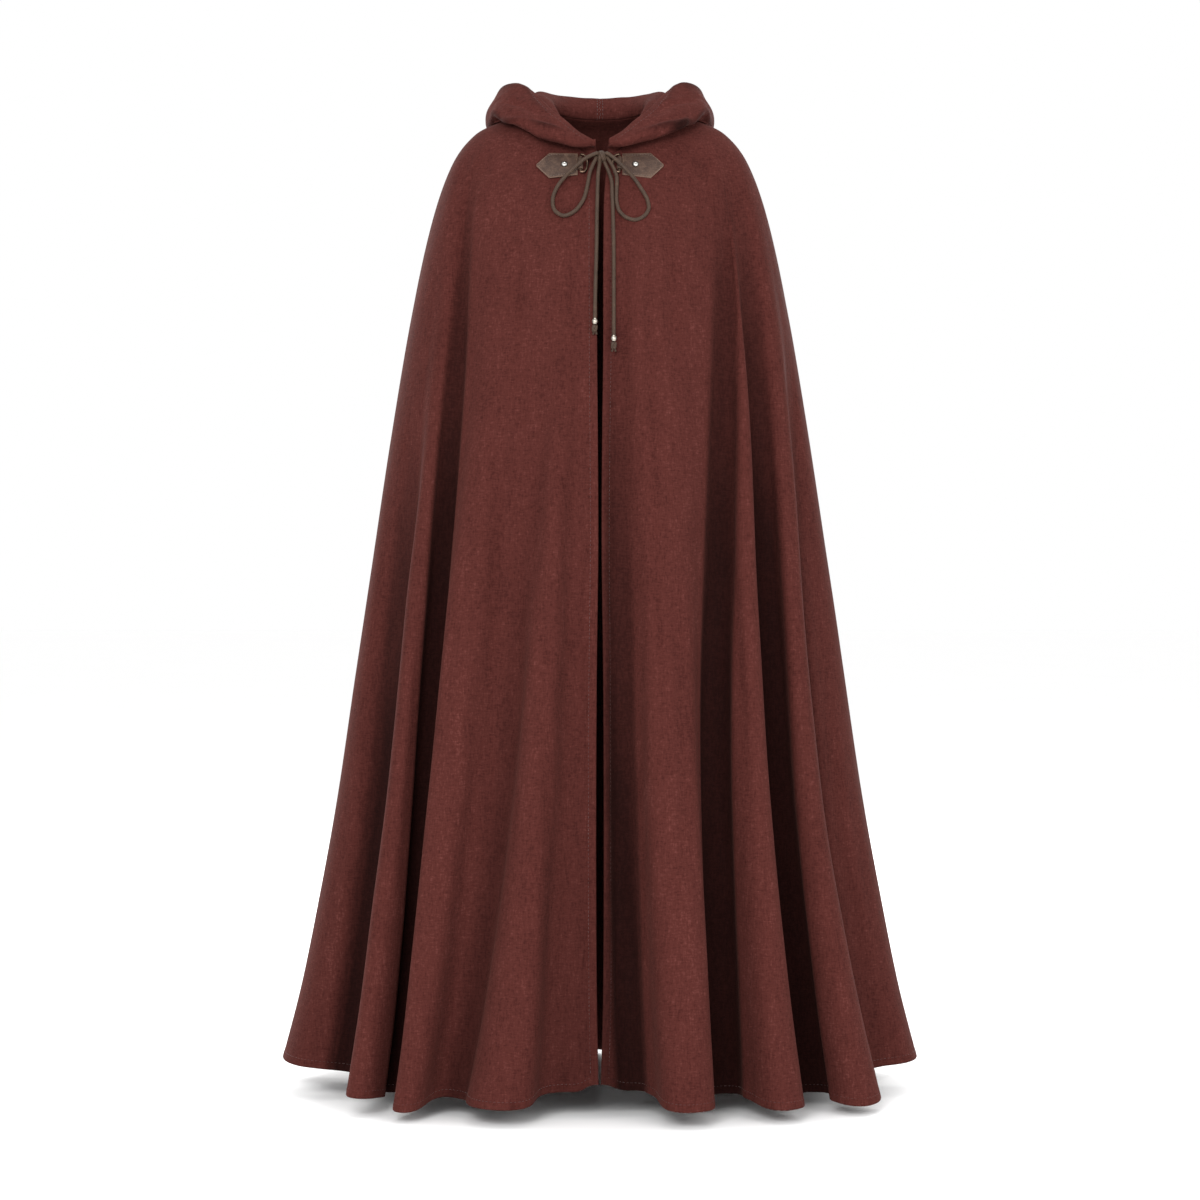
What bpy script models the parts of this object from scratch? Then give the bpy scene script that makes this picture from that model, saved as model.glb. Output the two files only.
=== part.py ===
"""A full-length hooded cloak, filled out as if worn but with no wearer, its hood down and its lace tied.

Metres, +Z up. The front faces -Y, and left and right are those of a front view, so right is +X. The origin is the
middle of the neck's base, where the shoulders carry the cloak.

The body is one run of cloth through level sections from neck to hem. Fold lines, ridges and valleys in turn, run
down it, and the cloth swells out and in between them. The fronts and the back are stretches of that run.
"""

import math

import bpy
import numpy as np
from mathutils import Vector

# Cloth, leather and wire
CLOTH = 0.002
SEAM_GAP = 0.0003
LEATHER = 0.0022
LACE_DIAMETER = 0.0046
WIRE_RADIUS = 0.0015

# Level sections of the cloak from neck to hem: half width, depth in front and behind, heights at the front, sides
# and back, and where the two front edges lie
SECTION_COLUMNS = ("half_width", "front", "back", "z_front", "z_side", "z_back", "left_edge", "right_edge")
SECTIONS = (
    (0.072, 0.088, 0.062, -0.052, 0.030, 0.026, -0.0055, 0.0115),
    (0.112, 0.107, 0.086, -0.082, 0.019, 0.008, -0.0050, 0.0080),
    (0.150, 0.122, 0.108, -0.118, 0.008, -0.022, -0.0045, 0.0055),
    (0.183, 0.134, 0.126, -0.155, -0.010, -0.058, -0.0045, 0.0050),
    (0.214, 0.144, 0.140, -0.200, -0.052, -0.105, -0.0045, 0.0045),
    (0.243, 0.154, 0.154, -0.265, -0.135, -0.185, -0.0040, 0.0045),
    (0.272, 0.166, 0.168, -0.345, -0.270, -0.300, -0.0040, 0.0045),
    (0.299, 0.182, 0.186, -0.470, -0.450, -0.460, -0.0030, 0.0030),
    (0.322, 0.200, 0.208, -0.620, -0.630, -0.640, -0.0025, 0.0025),
    (0.344, 0.218, 0.230, -0.780, -0.805, -0.815, -0.0045, 0.0045),
    (0.365, 0.236, 0.254, -0.950, -0.970, -0.985, -0.0055, 0.0055),
    (0.388, 0.251, 0.276, -1.110, -1.115, -1.140, -0.0055, 0.0055),
    (0.410, 0.262, 0.290, -1.250, -1.240, -1.270, -0.0045, 0.0045),
    (0.434, 0.270, 0.302, -1.366, -1.345, -1.381, -0.0020, 0.0010),
)
HEM_LEVEL = len(SECTIONS) - 1

# Fold lines round the cloak from the right front edge over the back to the left front edge: degrees from the front
# at the shoulder, chest, waist and hem (the levels named first), swell at the hem (out of a ridge, into a valley),
# the height where it starts, how far the hem hangs down there, and how steep the cloth stands up to the next line
FOLD_LEVELS = (4.0, 6.0, 8.4, 13.0)
FOLDS = {
    "right_edge": (1.2, 0.9, 0.5, 0.2, -0.044, -0.20, -0.023, 0.2),
    "right_recess": (5.0, 5.0, 4.5, 6.0, -0.047, -0.20, -0.012, 0.9),
    "right_inner": (16.0, 15.0, 15.6, 15.6, 0.042, -0.16, 0.003, 1.05),
    "right_valley": (53.0, 40.8, 30.9, 25.0, -0.042, -0.02, 0.000, 0.7),
    "right_middle": (57.0, 46.0, 38.0, 34.0, 0.040, -0.03, 0.012, 0.8),
    "right_furrow": (62.0, 51.9, 44.7, 43.6, -0.042, -0.05, 0.014, 0.7),
    "right_outer": (70.0, 64.0, 54.0, 52.6, 0.042, -0.08, 0.024, 1.0),
    "right_hollow": (79.0, 74.0, 62.0, 66.0, -0.036, -0.30, 0.002, 0.6),
    "right_side": (90.0, 90.0, 90.0, 90.0, 0.024, -0.25, -0.004, 0.5),
    "back_valley_1": (104.0, 104.0, 106.0, 103.5, -0.036, -0.30, -0.004, 0.6),
    "back_ridge_1": (115.0, 116.0, 117.0, 114.0, 0.040, -0.18, 0.006, 0.9),
    "back_valley_2": (126.0, 127.0, 128.0, 125.5, -0.040, -0.16, -0.002, 0.7),
    "back_ridge_2": (139.0, 139.0, 139.0, 138.0, 0.042, -0.24, 0.006, 0.8),
    "back_valley_3": (151.0, 151.0, 151.0, 150.0, -0.042, -0.28, -0.003, 0.8),
    "back_ridge_3": (162.0, 162.0, 163.0, 162.5, 0.040, -0.32, 0.005, 0.7),
    "back_valley_4": (172.0, 172.0, 172.0, 173.0, -0.038, -0.32, -0.003, 0.6),
    "back_ridge_4": (184.0, 184.0, 184.0, 184.5, 0.044, -0.28, 0.006, 0.9),
    "back_valley_5": (196.0, 196.0, 195.0, 196.0, -0.042, -0.30, -0.003, 0.7),
    "back_ridge_5": (207.0, 207.0, 208.0, 208.5, 0.040, -0.26, 0.005, 0.8),
    "back_valley_6": (219.0, 219.0, 219.0, 220.5, -0.042, -0.22, -0.003, 0.8),
    "back_ridge_6": (232.0, 231.0, 231.0, 232.0, 0.040, -0.24, 0.006, 0.7),
    "back_valley_7": (244.0, 243.0, 242.0, 243.0, -0.040, -0.16, -0.002, 0.7),
    "back_ridge_7": (254.0, 253.0, 253.0, 253.5, 0.036, -0.22, 0.006, 0.8),
    "back_valley_8": (262.0, 262.0, 262.0, 262.0, -0.016, -0.30, 0.000, 0.5),
    "left_side": (270.0, 270.0, 270.0, 270.0, 0.024, -0.25, -0.004, 0.6),
    "left_hollow": (284.0, 298.0, 301.0, 305.7, -0.036, -0.40, 0.000, 0.7),
    "left_outer": (295.0, 305.0, 309.1, 312.8, 0.040, -0.20, 0.008, 1.0),
    "left_furrow": (302.0, 312.6, 316.3, 318.4, -0.040, -0.03, 0.013, 0.8),
    "left_middle": (314.0, 329.0, 324.0, 323.8, 0.040, -0.12, 0.017, 0.9),
    "left_valley": (334.0, 343.0, 339.6, 329.6, -0.030, -0.22, 0.003, 0.4),
    "left_inner": (348.0, 349.6, 347.7, 341.9, 0.034, -0.18, 0.002, 0.9),
    "left_recess": (355.0, 355.0, 355.0, 354.5, -0.047, -0.20, -0.012, 0.3),
    "left_edge": (359.0, 359.2, 359.6, 359.7, -0.044, -0.20, -0.023, 0.0),
}
FOLD_GROWTH = 1.15
EDGE_STRIP = 0.06
STEPS_PER_FOLD_SIDE = 5

# The hood, lying down: for each bearing from the front, how far out and up (in pairs) its cloth runs from the neck
# seam over the crest, down along the cloak, round its lowest turn, up its outer side and over the peak to the edge
# round the face
HOOD = (
    (6, 0.0890, -0.0385, 0.0920, -0.0375, 0.0950, -0.0370, 0.0975, -0.0350, 0.0990, -0.0325, 0.0995, -0.0290),
    (16, 0.0895, -0.0330, 0.0970, -0.0355, 0.1060, -0.0395, 0.1125, -0.0350, 0.1085, -0.0260, 0.0990, -0.0195),
    (31, 0.0880, -0.0165, 0.0975, -0.0225, 0.1120, -0.0320, 0.1195, -0.0260, 0.1100, -0.0100, 0.0950, 0.0010),
    (47, 0.0850, 0.0050, 0.0990, -0.0045, 0.1190, -0.0210, 0.1280, -0.0140, 0.1130, 0.0080, 0.0935, 0.0185),
    (65, 0.0830, 0.0260, 0.1020, 0.0160, 0.1300, -0.0030, 0.1420, 0.0030, 0.1170, 0.0350, 0.0930, 0.0390),
    (82, 0.0870, 0.0440, 0.1070, 0.0330, 0.1440, 0.0130, 0.1510, 0.0190, 0.1170, 0.0610, 0.0985, 0.0540),
    (95, 0.0930, 0.0540, 0.1130, 0.0360, 0.1550, 0.0100, 0.1620, 0.0165, 0.1180, 0.0680, 0.1040, 0.0610),
    (110, 0.0950, 0.0620, 0.1180, 0.0380, 0.1660, -0.0040, 0.1740, 0.0060, 0.1230, 0.0670, 0.1090, 0.0600),
    (130, 0.0920, 0.0630, 0.1220, 0.0270, 0.1760, -0.0520, 0.1900, -0.0330, 0.1530, 0.0440, 0.1310, 0.0450),
    (155, 0.0790, 0.0600, 0.1200, 0.0000, 0.1760, -0.1400, 0.2050, -0.1120, 0.1990, -0.0050, 0.1670, 0.0230),
    (180, 0.0700, 0.0570, 0.1200, -0.0200, 0.1760, -0.1900, 0.2080, -0.1560, 0.2110, -0.0450, 0.1830, 0.0060),
)
HOOD_STATIONS = 17

# Steps of the hood's cloth along its lip, its root and then the stretches between the pairs above
HOOD_STEPS = (1, 1, 2, 3, 3, 2, 3, 2)

# How far the hood's lip and root reach up from the neck seam, how far its underside stays off the cloak, and the
# flattest slope (as a sine) for which that is widened
HOOD_LIP = 0.0024
HOOD_ROOT = 0.0045
HOOD_REST = 0.0050
HOOD_FLATTEST = 0.4

# A leather tab from its folded end to its point: distance from the middle, top and bottom
TAB = (
    (0.0315, -0.0490, -0.0815),
    (0.0510, -0.0485, -0.0838),
    (0.0715, -0.0480, -0.0860),
    (0.0895, -0.0650, -0.0680),
)
TAB_STATIONS = 9
TAB_ROWS = 4

# The rivet through each tab; the head as shares of its radius and height, from its foot to its top
RIVET_OUT = 0.0500
RIVET_UP = -0.0660
RIVET_RADIUS = 0.0046
RIVET_HEIGHT = 0.0026
RIVET_HEAD = ((0.0, 0.0), (1.0, 0.0), (1.0, 0.25), (0.86, 0.62), (0.55, 0.90), (0.0, 1.0))
RIVET_SIDES = 16

# The folded end of a tab round its ring's bar, and the ring
KEEPER_OUT = 0.0276
KEEPER_UP = -0.0655
KEEPER_HEIGHT = 0.0210
KEEPER_HALF_WIDTH = 0.0036
KEEPER_HALF_DEPTH = 0.0034
KEEPER_WALL = 0.00165
KEEPER_LIFT = 0.0050
KEEPER_SIDES = 12
RING_HEIGHT = 0.0320
RING_REACH = 0.0095
RING_FULLNESS = 0.6
RING_STEPS = 10
RING_BAR_STOPS = (0.5, 0.0, -0.5)

# The lace's knot and, for each stretch, places by distance to the side (x), height, and lift off the cloth. A
# stretch starts at the knot's surface and a loop ends there too, both facing the place given, with a straight stub.
KNOT_CENTRE = (0.0028, -0.0590)
KNOT_LIFT = 0.0115
KNOT_HALF_LENGTH = 0.0080
KNOT_RADIUS = 0.0068
KNOT_STUB = 0.0025
SPAN_LEFT = (
    (-0.0049, -0.0570, 0.0115),
    (-0.0108, -0.0566, 0.0094),
    (-0.0177, -0.0572, 0.0060),
)
SPAN_RIGHT = (
    (0.0104, -0.0570, 0.0115),
    (0.0138, -0.0567, 0.0092),
    (0.0178, -0.0572, 0.0062),
)
LOOP_LEFT = (
    (-0.0042, -0.0600, 0.0178),
    (-0.0120, -0.0618, 0.0165),
    (-0.0203, -0.0650, 0.0150),
    (-0.0308, -0.0724, 0.0128),
    (-0.0462, -0.0850, 0.0090),
    (-0.0605, -0.1024, 0.0056),
    (-0.0662, -0.1204, 0.0042),
    (-0.0630, -0.1347, 0.0040),
    (-0.0501, -0.1424, 0.0040),
    (-0.0371, -0.1372, 0.0040),
    (-0.0242, -0.1217, 0.0050),
    (-0.0176, -0.0997, 0.0062),
    (-0.0137, -0.0802, 0.0090),
    (-0.0085, -0.0690, 0.0118),
    (-0.0058, -0.0638, 0.0128),
)
LOOP_RIGHT = (
    (0.0098, -0.0600, 0.0178),
    (0.0186, -0.0645, 0.0160),
    (0.0315, -0.0750, 0.0135),
    (0.0445, -0.0868, 0.0092),
    (0.0574, -0.1036, 0.0056),
    (0.0665, -0.1204, 0.0042),
    (0.0678, -0.1320, 0.0040),
    (0.0602, -0.1438, 0.0040),
    (0.0483, -0.1483, 0.0040),
    (0.0367, -0.1452, 0.0040),
    (0.0270, -0.1360, 0.0040),
    (0.0232, -0.1231, 0.0042),
    (0.0230, -0.1060, 0.0054),
    (0.0232, -0.0868, 0.0078),
    (0.0180, -0.0740, 0.0102),
    (0.0114, -0.0638, 0.0128),
)
TAIL_LEFT = (
    (-0.0010, -0.0690, 0.0106),
    (-0.0022, -0.0800, 0.0085),
    (-0.0038, -0.1200, 0.0056),
    (-0.0049, -0.1900, 0.0042),
    (-0.0066, -0.2600, 0.0040),
    (-0.0070, -0.2885, 0.0040),
)
TAIL_RIGHT = (
    (0.0070, -0.0692, 0.0098),
    (0.0120, -0.0790, 0.0066),
    (0.0156, -0.0900, 0.0054),
    (0.0170, -0.1130, 0.0050),
    (0.0186, -0.1620, 0.0042),
    (0.0190, -0.2600, 0.0040),
    (0.0190, -0.3125, 0.0040),
)
LACE_SPACING = 2.4
LACE_FEWEST = 4
BEAD_RADIUS = 0.0043
END_KNOT_RADIUS = 0.0044
END_KNOT_HALF_LENGTH = 0.0057

# How finely curves are followed and places searched for
CURVE_STEPS = 12
HALVINGS = 30
SLOPE_STEP = 0.002
SLOPE_LEVEL = 0.1
BALL_SIDES = 12
BALL_RINGS = 5
KNOT_SIDES = 14
KNOT_RINGS = 6

# Colours as linear values
CLOTH_COLOUR = (0.115, 0.030, 0.028, 1.0)
LEATHER_COLOUR = (0.060, 0.035, 0.026, 1.0)
LACE_COLOUR = (0.075, 0.045, 0.030, 1.0)
METAL_COLOUR = (0.62, 0.60, 0.57, 1.0)
BRONZE_COLOUR = (0.16, 0.11, 0.08, 1.0)


def clear_scene():
    """Remove the objects the file starts with."""
    for thing in list(bpy.data.objects):
        bpy.data.objects.remove(thing, do_unlink=True)


def make_material(name, colour, roughness, metallic=0.0):
    """A plain Principled material."""
    material = bpy.data.materials.new(name)
    material.use_nodes = True
    shader = material.node_tree.nodes["Principled BSDF"]
    shader.inputs["Base Color"].default_value = colour
    shader.inputs["Roughness"].default_value = roughness
    shader.inputs["Metallic"].default_value = metallic
    return material


def smooth(keys, values, at):
    """Smooth curve through values that are given at rising keys."""
    keys = np.asarray(keys, dtype=float)
    values = np.asarray(values, dtype=float)
    at = np.clip(np.asarray(at, dtype=float), keys[0], keys[-1])
    slopes = np.gradient(values, keys)
    start = np.clip(np.searchsorted(keys, at, side="right") - 1, 0, len(keys) - 2)
    width = keys[start + 1] - keys[start]
    t = (at - keys[start]) / width
    rise = values[start] * (2 * t**3 - 3 * t**2 + 1) + values[start + 1] * (3 * t**2 - 2 * t**3)
    lean = slopes[start] * (t**3 - 2 * t**2 + t) + slopes[start + 1] * (t**3 - t**2)
    return rise + lean * width


def path_keys(points):
    """Distance along the straight lines through points, at each of them."""
    return np.concatenate(([0.0], np.cumsum(np.linalg.norm(np.diff(points, axis=0), axis=1))))


def stepped_path(points, steps):
    """Points on a smooth curve through the given ones, with so many steps from each one to the next."""
    points = np.asarray(points, dtype=float)
    keys = path_keys(points)
    at = [keys[0]]
    for start, end, count in zip(keys, keys[1:], steps):
        at.extend(np.linspace(start, end, count + 1)[1:])
    return np.stack([smooth(keys, axis, at) for axis in points.T], axis=1)


def even_path(points, count):
    """Evenly spaced points on a smooth curve through the given ones."""
    curve = stepped_path(points, [CURVE_STEPS] * (len(points) - 1))
    along = path_keys(curve)
    even = np.linspace(0.0, along[-1], count)
    return np.stack([np.interp(even, along, axis) for axis in curve.T], axis=1)


def section(column, level):
    """A column of the section table at any level."""
    place = SECTION_COLUMNS.index(column)
    return smooth(range(len(SECTIONS)), [row[place] for row in SECTIONS], level)


def ring(level, turn):
    """Point on the plain cloak and the way out of it, level, at a turn from the front that rises through +X."""
    width = section("half_width", level)
    in_front = np.cos(turn) > 0
    depth = np.where(in_front, section("front", level), section("back", level))
    end_height = np.where(in_front, section("z_front", level), section("z_back", level))
    share = np.cos(turn) ** 2
    height = section("z_side", level) * (1 - share) + end_height * share
    point = np.stack([width * np.sin(turn), -depth * np.cos(turn), height], axis=-1)
    out = np.stack([np.sin(turn) / width, -np.cos(turn) / depth, 0 * turn], axis=-1)
    return point, out / np.linalg.norm(out, axis=-1, keepdims=True)


def fold_lines(level):
    """Turn, swell, drop and wall steepness of each fold line at a level."""
    rows = np.array(list(FOLDS.values()))
    turns = np.radians([smooth(FOLD_LEVELS, row[:4], level) for row in rows])
    width = section("half_width", level)
    turns[0] = math.asin(section("right_edge", level) / width)
    turns[-1] = math.tau + math.asin(section("left_edge", level) / width)
    turns[1] = max(turns[1], turns[0] + EDGE_STRIP)
    turns[-2] = min(turns[-2], turns[-1] - EDGE_STRIP)
    swell, start, drop, wall = rows[:, 4:].T
    height = ring(level, turns)[0][:, 2]
    hem_height = ring(HEM_LEVEL, turns)[0][:, 2]
    grown = np.clip((start - height) / (start - hem_height), 0.0, 1.0) ** FOLD_GROWTH
    return turns, swell * grown, drop * grown, wall * grown


def cloak_row(level, steps):
    """Points across the cloak's cloth at a level, with the given steps between one fold line and the next."""
    turns, swells, drops, walls = fold_lines(level)
    t = np.linspace(0.0, 1.0, steps, endpoint=False)
    wave = (1 - np.cos(math.pi * t)) / 2
    grid = []
    for line in range(len(turns) - 1):
        eased = t + walls[line] * np.sin(math.tau * t) / math.tau
        sweep = turns[line] + (turns[line + 1] - turns[line]) * eased
        swell = swells[line] + (swells[line + 1] - swells[line]) * wave
        drop = drops[line] + (drops[line + 1] - drops[line]) * wave
        grid.append(np.stack([sweep, swell, drop]))
    grid.append(np.array([[turns[-1]], [swells[-1]], [drops[-1]]]))
    sweep, swell, drop = np.concatenate(grid, axis=1)
    points, out = ring(level, sweep)
    points = points + out * swell[:, None]
    points[:, 2] -= drop
    return points


def cloak_cloth(levels, steps):
    """The whole run of cloth as a grid of points, a row for each level, with its outward normals."""
    points = np.array([cloak_row(level, steps) for level in levels])
    return points, grid_normals(points)


def grid_normals(points):
    """Unit normals of a grid, to the side that is outward when rows go down and columns go right."""
    normals = np.cross(np.gradient(points, axis=0), np.gradient(points, axis=1))
    return normals / np.linalg.norm(normals, axis=-1, keepdims=True)


def trim_side(points, column, inner):
    """Draw a panel's side column back by half the seam's gap."""
    inward = points[:, inner] - points[:, column]
    inward /= np.linalg.norm(inward, axis=-1, keepdims=True)
    points[:, column] += inward * SEAM_GAP / 2


def add_mesh(name, vertices, faces, material):
    """A mesh object with smooth shading and one material."""
    mesh = bpy.data.meshes.new(name)
    mesh.from_pydata([tuple(v) for v in vertices], [], faces)
    mesh.validate()
    mesh.shade_smooth()
    mesh.materials.append(material)
    thing = bpy.data.objects.new(name, mesh)
    bpy.context.scene.collection.objects.link(thing)
    return thing


def add_wall(name, middle, normals, thickness, material):
    """A closed wall of even thickness about a grid of middle points, cut into the same triangles on both sides."""
    rows, columns = middle.shape[:2]
    outer = (middle + normals * thickness / 2).reshape(-1, 3)
    inner = (middle - normals * thickness / 2).reshape(-1, 3)
    back = rows * columns
    faces = []
    for row in range(rows - 1):
        for column in range(columns - 1):
            a = row * columns + column
            b = a + 1
            d = a + columns
            c = d + 1
            faces += [(a, d, c), (a, c, b)]
            faces += [(back + a, back + c, back + d), (back + a, back + b, back + c)]
    down = [row * columns for row in range(rows)]
    across = [(rows - 1) * columns + column for column in range(1, columns)]
    up = [row * columns + columns - 1 for row in range(rows - 2, -1, -1)]
    home = [column for column in range(columns - 2, -1, -1)]
    border = down + across + up + home
    for p, q in zip(border, border[1:]):
        faces += [(q, p, back + p), (q, back + p, back + q)]
    return add_mesh(name, np.concatenate([outer, inner]), faces, material)


def make_cloak(cloth):
    """The two fronts and the back."""
    points, normals = cloak_cloth(range(len(SECTIONS)), STEPS_PER_FOLD_SIDE)
    lines = list(FOLDS)
    right_side = lines.index("right_side") * STEPS_PER_FOLD_SIDE
    left_side = lines.index("left_side") * STEPS_PER_FOLD_SIDE
    last = points.shape[1] - 1
    spans = {
        "cloak_front_right": (0, right_side),
        "cloak_back": (right_side, left_side),
        "cloak_front_left": (left_side, last),
    }
    for name, (first, end) in spans.items():
        panel = points[:, first : end + 1].copy()
        if first > 0:
            trim_side(panel, 0, 1)
        if end < last:
            trim_side(panel, -1, -2)
        add_wall(name, panel, normals[:, first : end + 1], CLOTH, cloth)


def ring_at_bearing(bearing, level):
    """Radius and height of the plain cloak at a bearing and level."""
    depth = section("front" if math.cos(bearing) > 0 else "back", level)
    turn = math.atan2(math.sin(bearing) / section("half_width", level), math.cos(bearing) / depth)
    point = ring(level, np.array(turn))[0]
    return math.hypot(point[0], point[1]), float(point[2])


def neck_seam(bearing):
    """The neck seam at a bearing, and the way the cloak's cloth runs up to it, both as out and up."""
    here = np.array(ring_at_bearing(bearing, 0.0))
    run = here - np.array(ring_at_bearing(bearing, 1.0))
    return here, run / np.linalg.norm(run)


def cloak_reach(bearing, height):
    """Radius of the plain cloak at a bearing and height, and the sine of its slope there."""
    low, high = 0.0, float(HEM_LEVEL)
    for _ in range(HALVINGS):
        level = (low + high) / 2
        radius, level_height = ring_at_bearing(bearing, level)
        if level_height > height:
            low = level
        else:
            high = level
    lower_radius, lower_height = ring_at_bearing(bearing, level + SLOPE_LEVEL)
    fall = level_height - lower_height
    return radius, fall / math.hypot(fall, lower_radius - radius)


def hood_profile(bearing, steps):
    """Points of the hood's cloth from the neck seam to the face edge, as out and up, kept clear of the cloak."""
    rows = np.array(HOOD + HOOD[-2:-1])
    rows[-1, 0] = 360 - rows[-1, 0]
    columns = [smooth(rows[:, 0], column, math.degrees(bearing)) for column in rows[:, 1:].T]
    pairs = np.array(columns).reshape(-1, 2)
    seam, run = neck_seam(bearing)
    root = seam + run * HOOD_ROOT + np.array([0.0, HOOD_ROOT])
    profile = stepped_path([seam + run * SEAM_GAP, seam + run * HOOD_LIP, root, *pairs], steps)
    for place in range(steps[0] + steps[1] + 1, len(profile)):
        if profile[place, 1] < seam[1]:
            reach, slope = cloak_reach(bearing, profile[place, 1])
            profile[place, 0] = max(profile[place, 0], reach + HOOD_REST / max(slope, HOOD_FLATTEST))
    return profile


def hood_half(start, side, stations, steps):
    """Grid of one half of the hood, from its front end at the start bearing to the centre seam."""
    bearings = np.linspace(start, math.pi, stations)
    columns = []
    for bearing in bearings:
        profile = hood_profile(bearing, steps)
        x = side * profile[:, 0] * math.sin(bearing)
        y = -profile[:, 0] * math.cos(bearing)
        columns.append(np.stack([x, y, profile[:, 1]], axis=1))
    return np.stack(columns, axis=1)


def make_hood(cloth):
    """The two halves of the hood, with the centre seam's gap between them."""
    for name, edge, side in (("hood_right", "right_edge", 1), ("hood_left", "left_edge", -1)):
        start = math.atan2(abs(section(edge, 0.0)), section("front", 0.0))
        points = hood_half(start, side, HOOD_STATIONS, HOOD_STEPS)
        if side < 0:
            points = points[:, ::-1]
        centre = -1 if side > 0 else 0
        normals = grid_normals(points)
        normals[:, centre, 0] = 0.0
        normals /= np.linalg.norm(normals, axis=-1, keepdims=True)
        points[:, centre, 0] += side * SEAM_GAP / 2
        add_wall(name, points, normals, CLOTH, cloth)


def front_height(x, level):
    """Height of the plain front at a distance from the middle and a level."""
    turn = math.asin(min(1.0, abs(x) / float(section("half_width", level))))
    return float(ring(level, np.array(turn))[0][2])


def front_depth(x, z):
    """How deep the plain front lies (its y) at a distance from the middle and a height."""
    low, high = 0.0, float(HEM_LEVEL)
    for _ in range(HALVINGS):
        level = (low + high) / 2
        if front_height(x, level) > z:
            low = level
        else:
            high = level
    turn = math.asin(min(1.0, abs(x) / float(section("half_width", level))))
    return float(ring(level, np.array(turn))[0][1])


def on_front(x, z, lift):
    """The point of the front cloth's middle at x and z, moved straight out by lift, and the way out."""
    slope_x = (front_depth(x + SLOPE_STEP, z) - front_depth(x - SLOPE_STEP, z)) / (2 * SLOPE_STEP)
    slope_z = (front_depth(x, z + SLOPE_STEP) - front_depth(x, z - SLOPE_STEP)) / (2 * SLOPE_STEP)
    out = Vector((slope_x, -1.0, slope_z)).normalized()
    return Vector((x, front_depth(x, z), z)) + out * lift, out


def make_tab(name, side, leather):
    """A pointed leather tab that follows the front."""
    outs, tops, bottoms = np.array(TAB).T
    across = np.unique(np.concatenate([np.linspace(outs[0], outs[-1], TAB_STATIONS), outs]))
    if side < 0:
        across = across[::-1]
    lift = CLOTH / 2 + SEAM_GAP + LEATHER / 2
    grid = []
    for share in np.linspace(0.0, 1.0, TAB_ROWS):
        heights = np.interp(across, outs, tops) * (1 - share) + np.interp(across, outs, bottoms) * share
        grid.append([on_front(side * out, height, lift) for out, height in zip(across, heights)])
    grid = np.array(grid)
    add_wall(name, grid[:, :, 0], grid[:, :, 1], LEATHER, leather)


def make_turned(name, profile, centre, axis, sides, material):
    """A turned solid: profile is (radius, height) from its base to its top, about an axis through centre."""
    turn = Vector((0.0, 0.0, 1.0)).rotation_difference(Vector(axis)).to_matrix()
    vertices = [Vector((0.0, 0.0, profile[0][1]))]
    for radius, height in profile[1:-1]:
        for step in range(sides):
            angle = math.tau * step / sides
            vertices.append(Vector((radius * math.cos(angle), radius * math.sin(angle), height)))
    vertices.append(Vector((0.0, 0.0, profile[-1][1])))
    top = len(vertices) - 1
    rings = len(profile) - 2
    faces = []
    for step in range(sides):
        after = (step + 1) % sides
        faces.append((0, 1 + after, 1 + step))
        for level in range(rings - 1):
            low = 1 + level * sides
            high = low + sides
            faces.append((low + step, low + after, high + after, high + step))
        last = 1 + (rings - 1) * sides
        faces.append((last + step, last + after, top))
    return add_mesh(name, [Vector(centre) + turn @ v for v in vertices], faces, material)


def make_rivet(name, side, metal):
    """A domed rivet head on a tab."""
    lift = CLOTH / 2 + SEAM_GAP + LEATHER + SEAM_GAP
    base, out = on_front(side * RIVET_OUT, RIVET_UP, lift)
    profile = [(radius * RIVET_RADIUS, height * RIVET_HEIGHT) for radius, height in RIVET_HEAD]
    make_turned(name, profile, base, out, RIVET_SIDES, metal)


def make_keeper(name, side, leather):
    """The folded end of a tab: a flattened leather tube that stands round the ring's bar."""
    middle, out = on_front(side * KEEPER_OUT, KEEPER_UP, KEEPER_LIFT)
    sideways = Vector((0.0, 0.0, 1.0)).cross(out).normalized()
    upward = out.cross(sideways)
    sides = KEEPER_SIDES
    vertices = []
    for height in (-KEEPER_HEIGHT / 2, KEEPER_HEIGHT / 2):
        for shrink in (0.0, KEEPER_WALL):
            for step in range(sides):
                angle = math.tau * step / sides
                across = (KEEPER_HALF_WIDTH - shrink) * math.cos(angle)
                deep = (KEEPER_HALF_DEPTH - shrink) * math.sin(angle)
                vertices.append(middle + sideways * across + out * deep + upward * height)
    low_outer, low_inner, high_outer, high_inner = (n * sides for n in range(4))
    faces = []
    for a in range(sides):
        b = (a + 1) % sides
        faces.append((low_outer + b, low_outer + a, high_outer + a, high_outer + b))
        faces.append((low_inner + a, low_inner + b, high_inner + b, high_inner + a))
        faces.append((high_outer + b, high_outer + a, high_inner + a, high_inner + b))
        faces.append((low_outer + a, low_outer + b, low_inner + b, low_inner + a))
    return add_mesh(name, vertices, faces, leather)


def ring_outline(side):
    """The D-ring's centre line: a straight bar in the keeper and a bow towards the knot."""
    middle, out = on_front(side * KEEPER_OUT, KEEPER_UP, KEEPER_LIFT)
    sideways = Vector((0.0, 0.0, 1.0)).cross(out).normalized()
    upward = out.cross(sideways)
    if sideways.x * side > 0:
        sideways = -sideways
    half = RING_HEIGHT / 2
    bow = []
    for step in range(RING_STEPS + 1):
        angle = math.pi * (step / RING_STEPS - 0.5)
        reach = RING_REACH * max(0.0, math.cos(angle)) ** RING_FULLNESS
        bow.append(middle + sideways * reach + upward * half * math.sin(angle))
    bar = [middle + upward * half * share for share in RING_BAR_STOPS]
    return bow + bar


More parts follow.
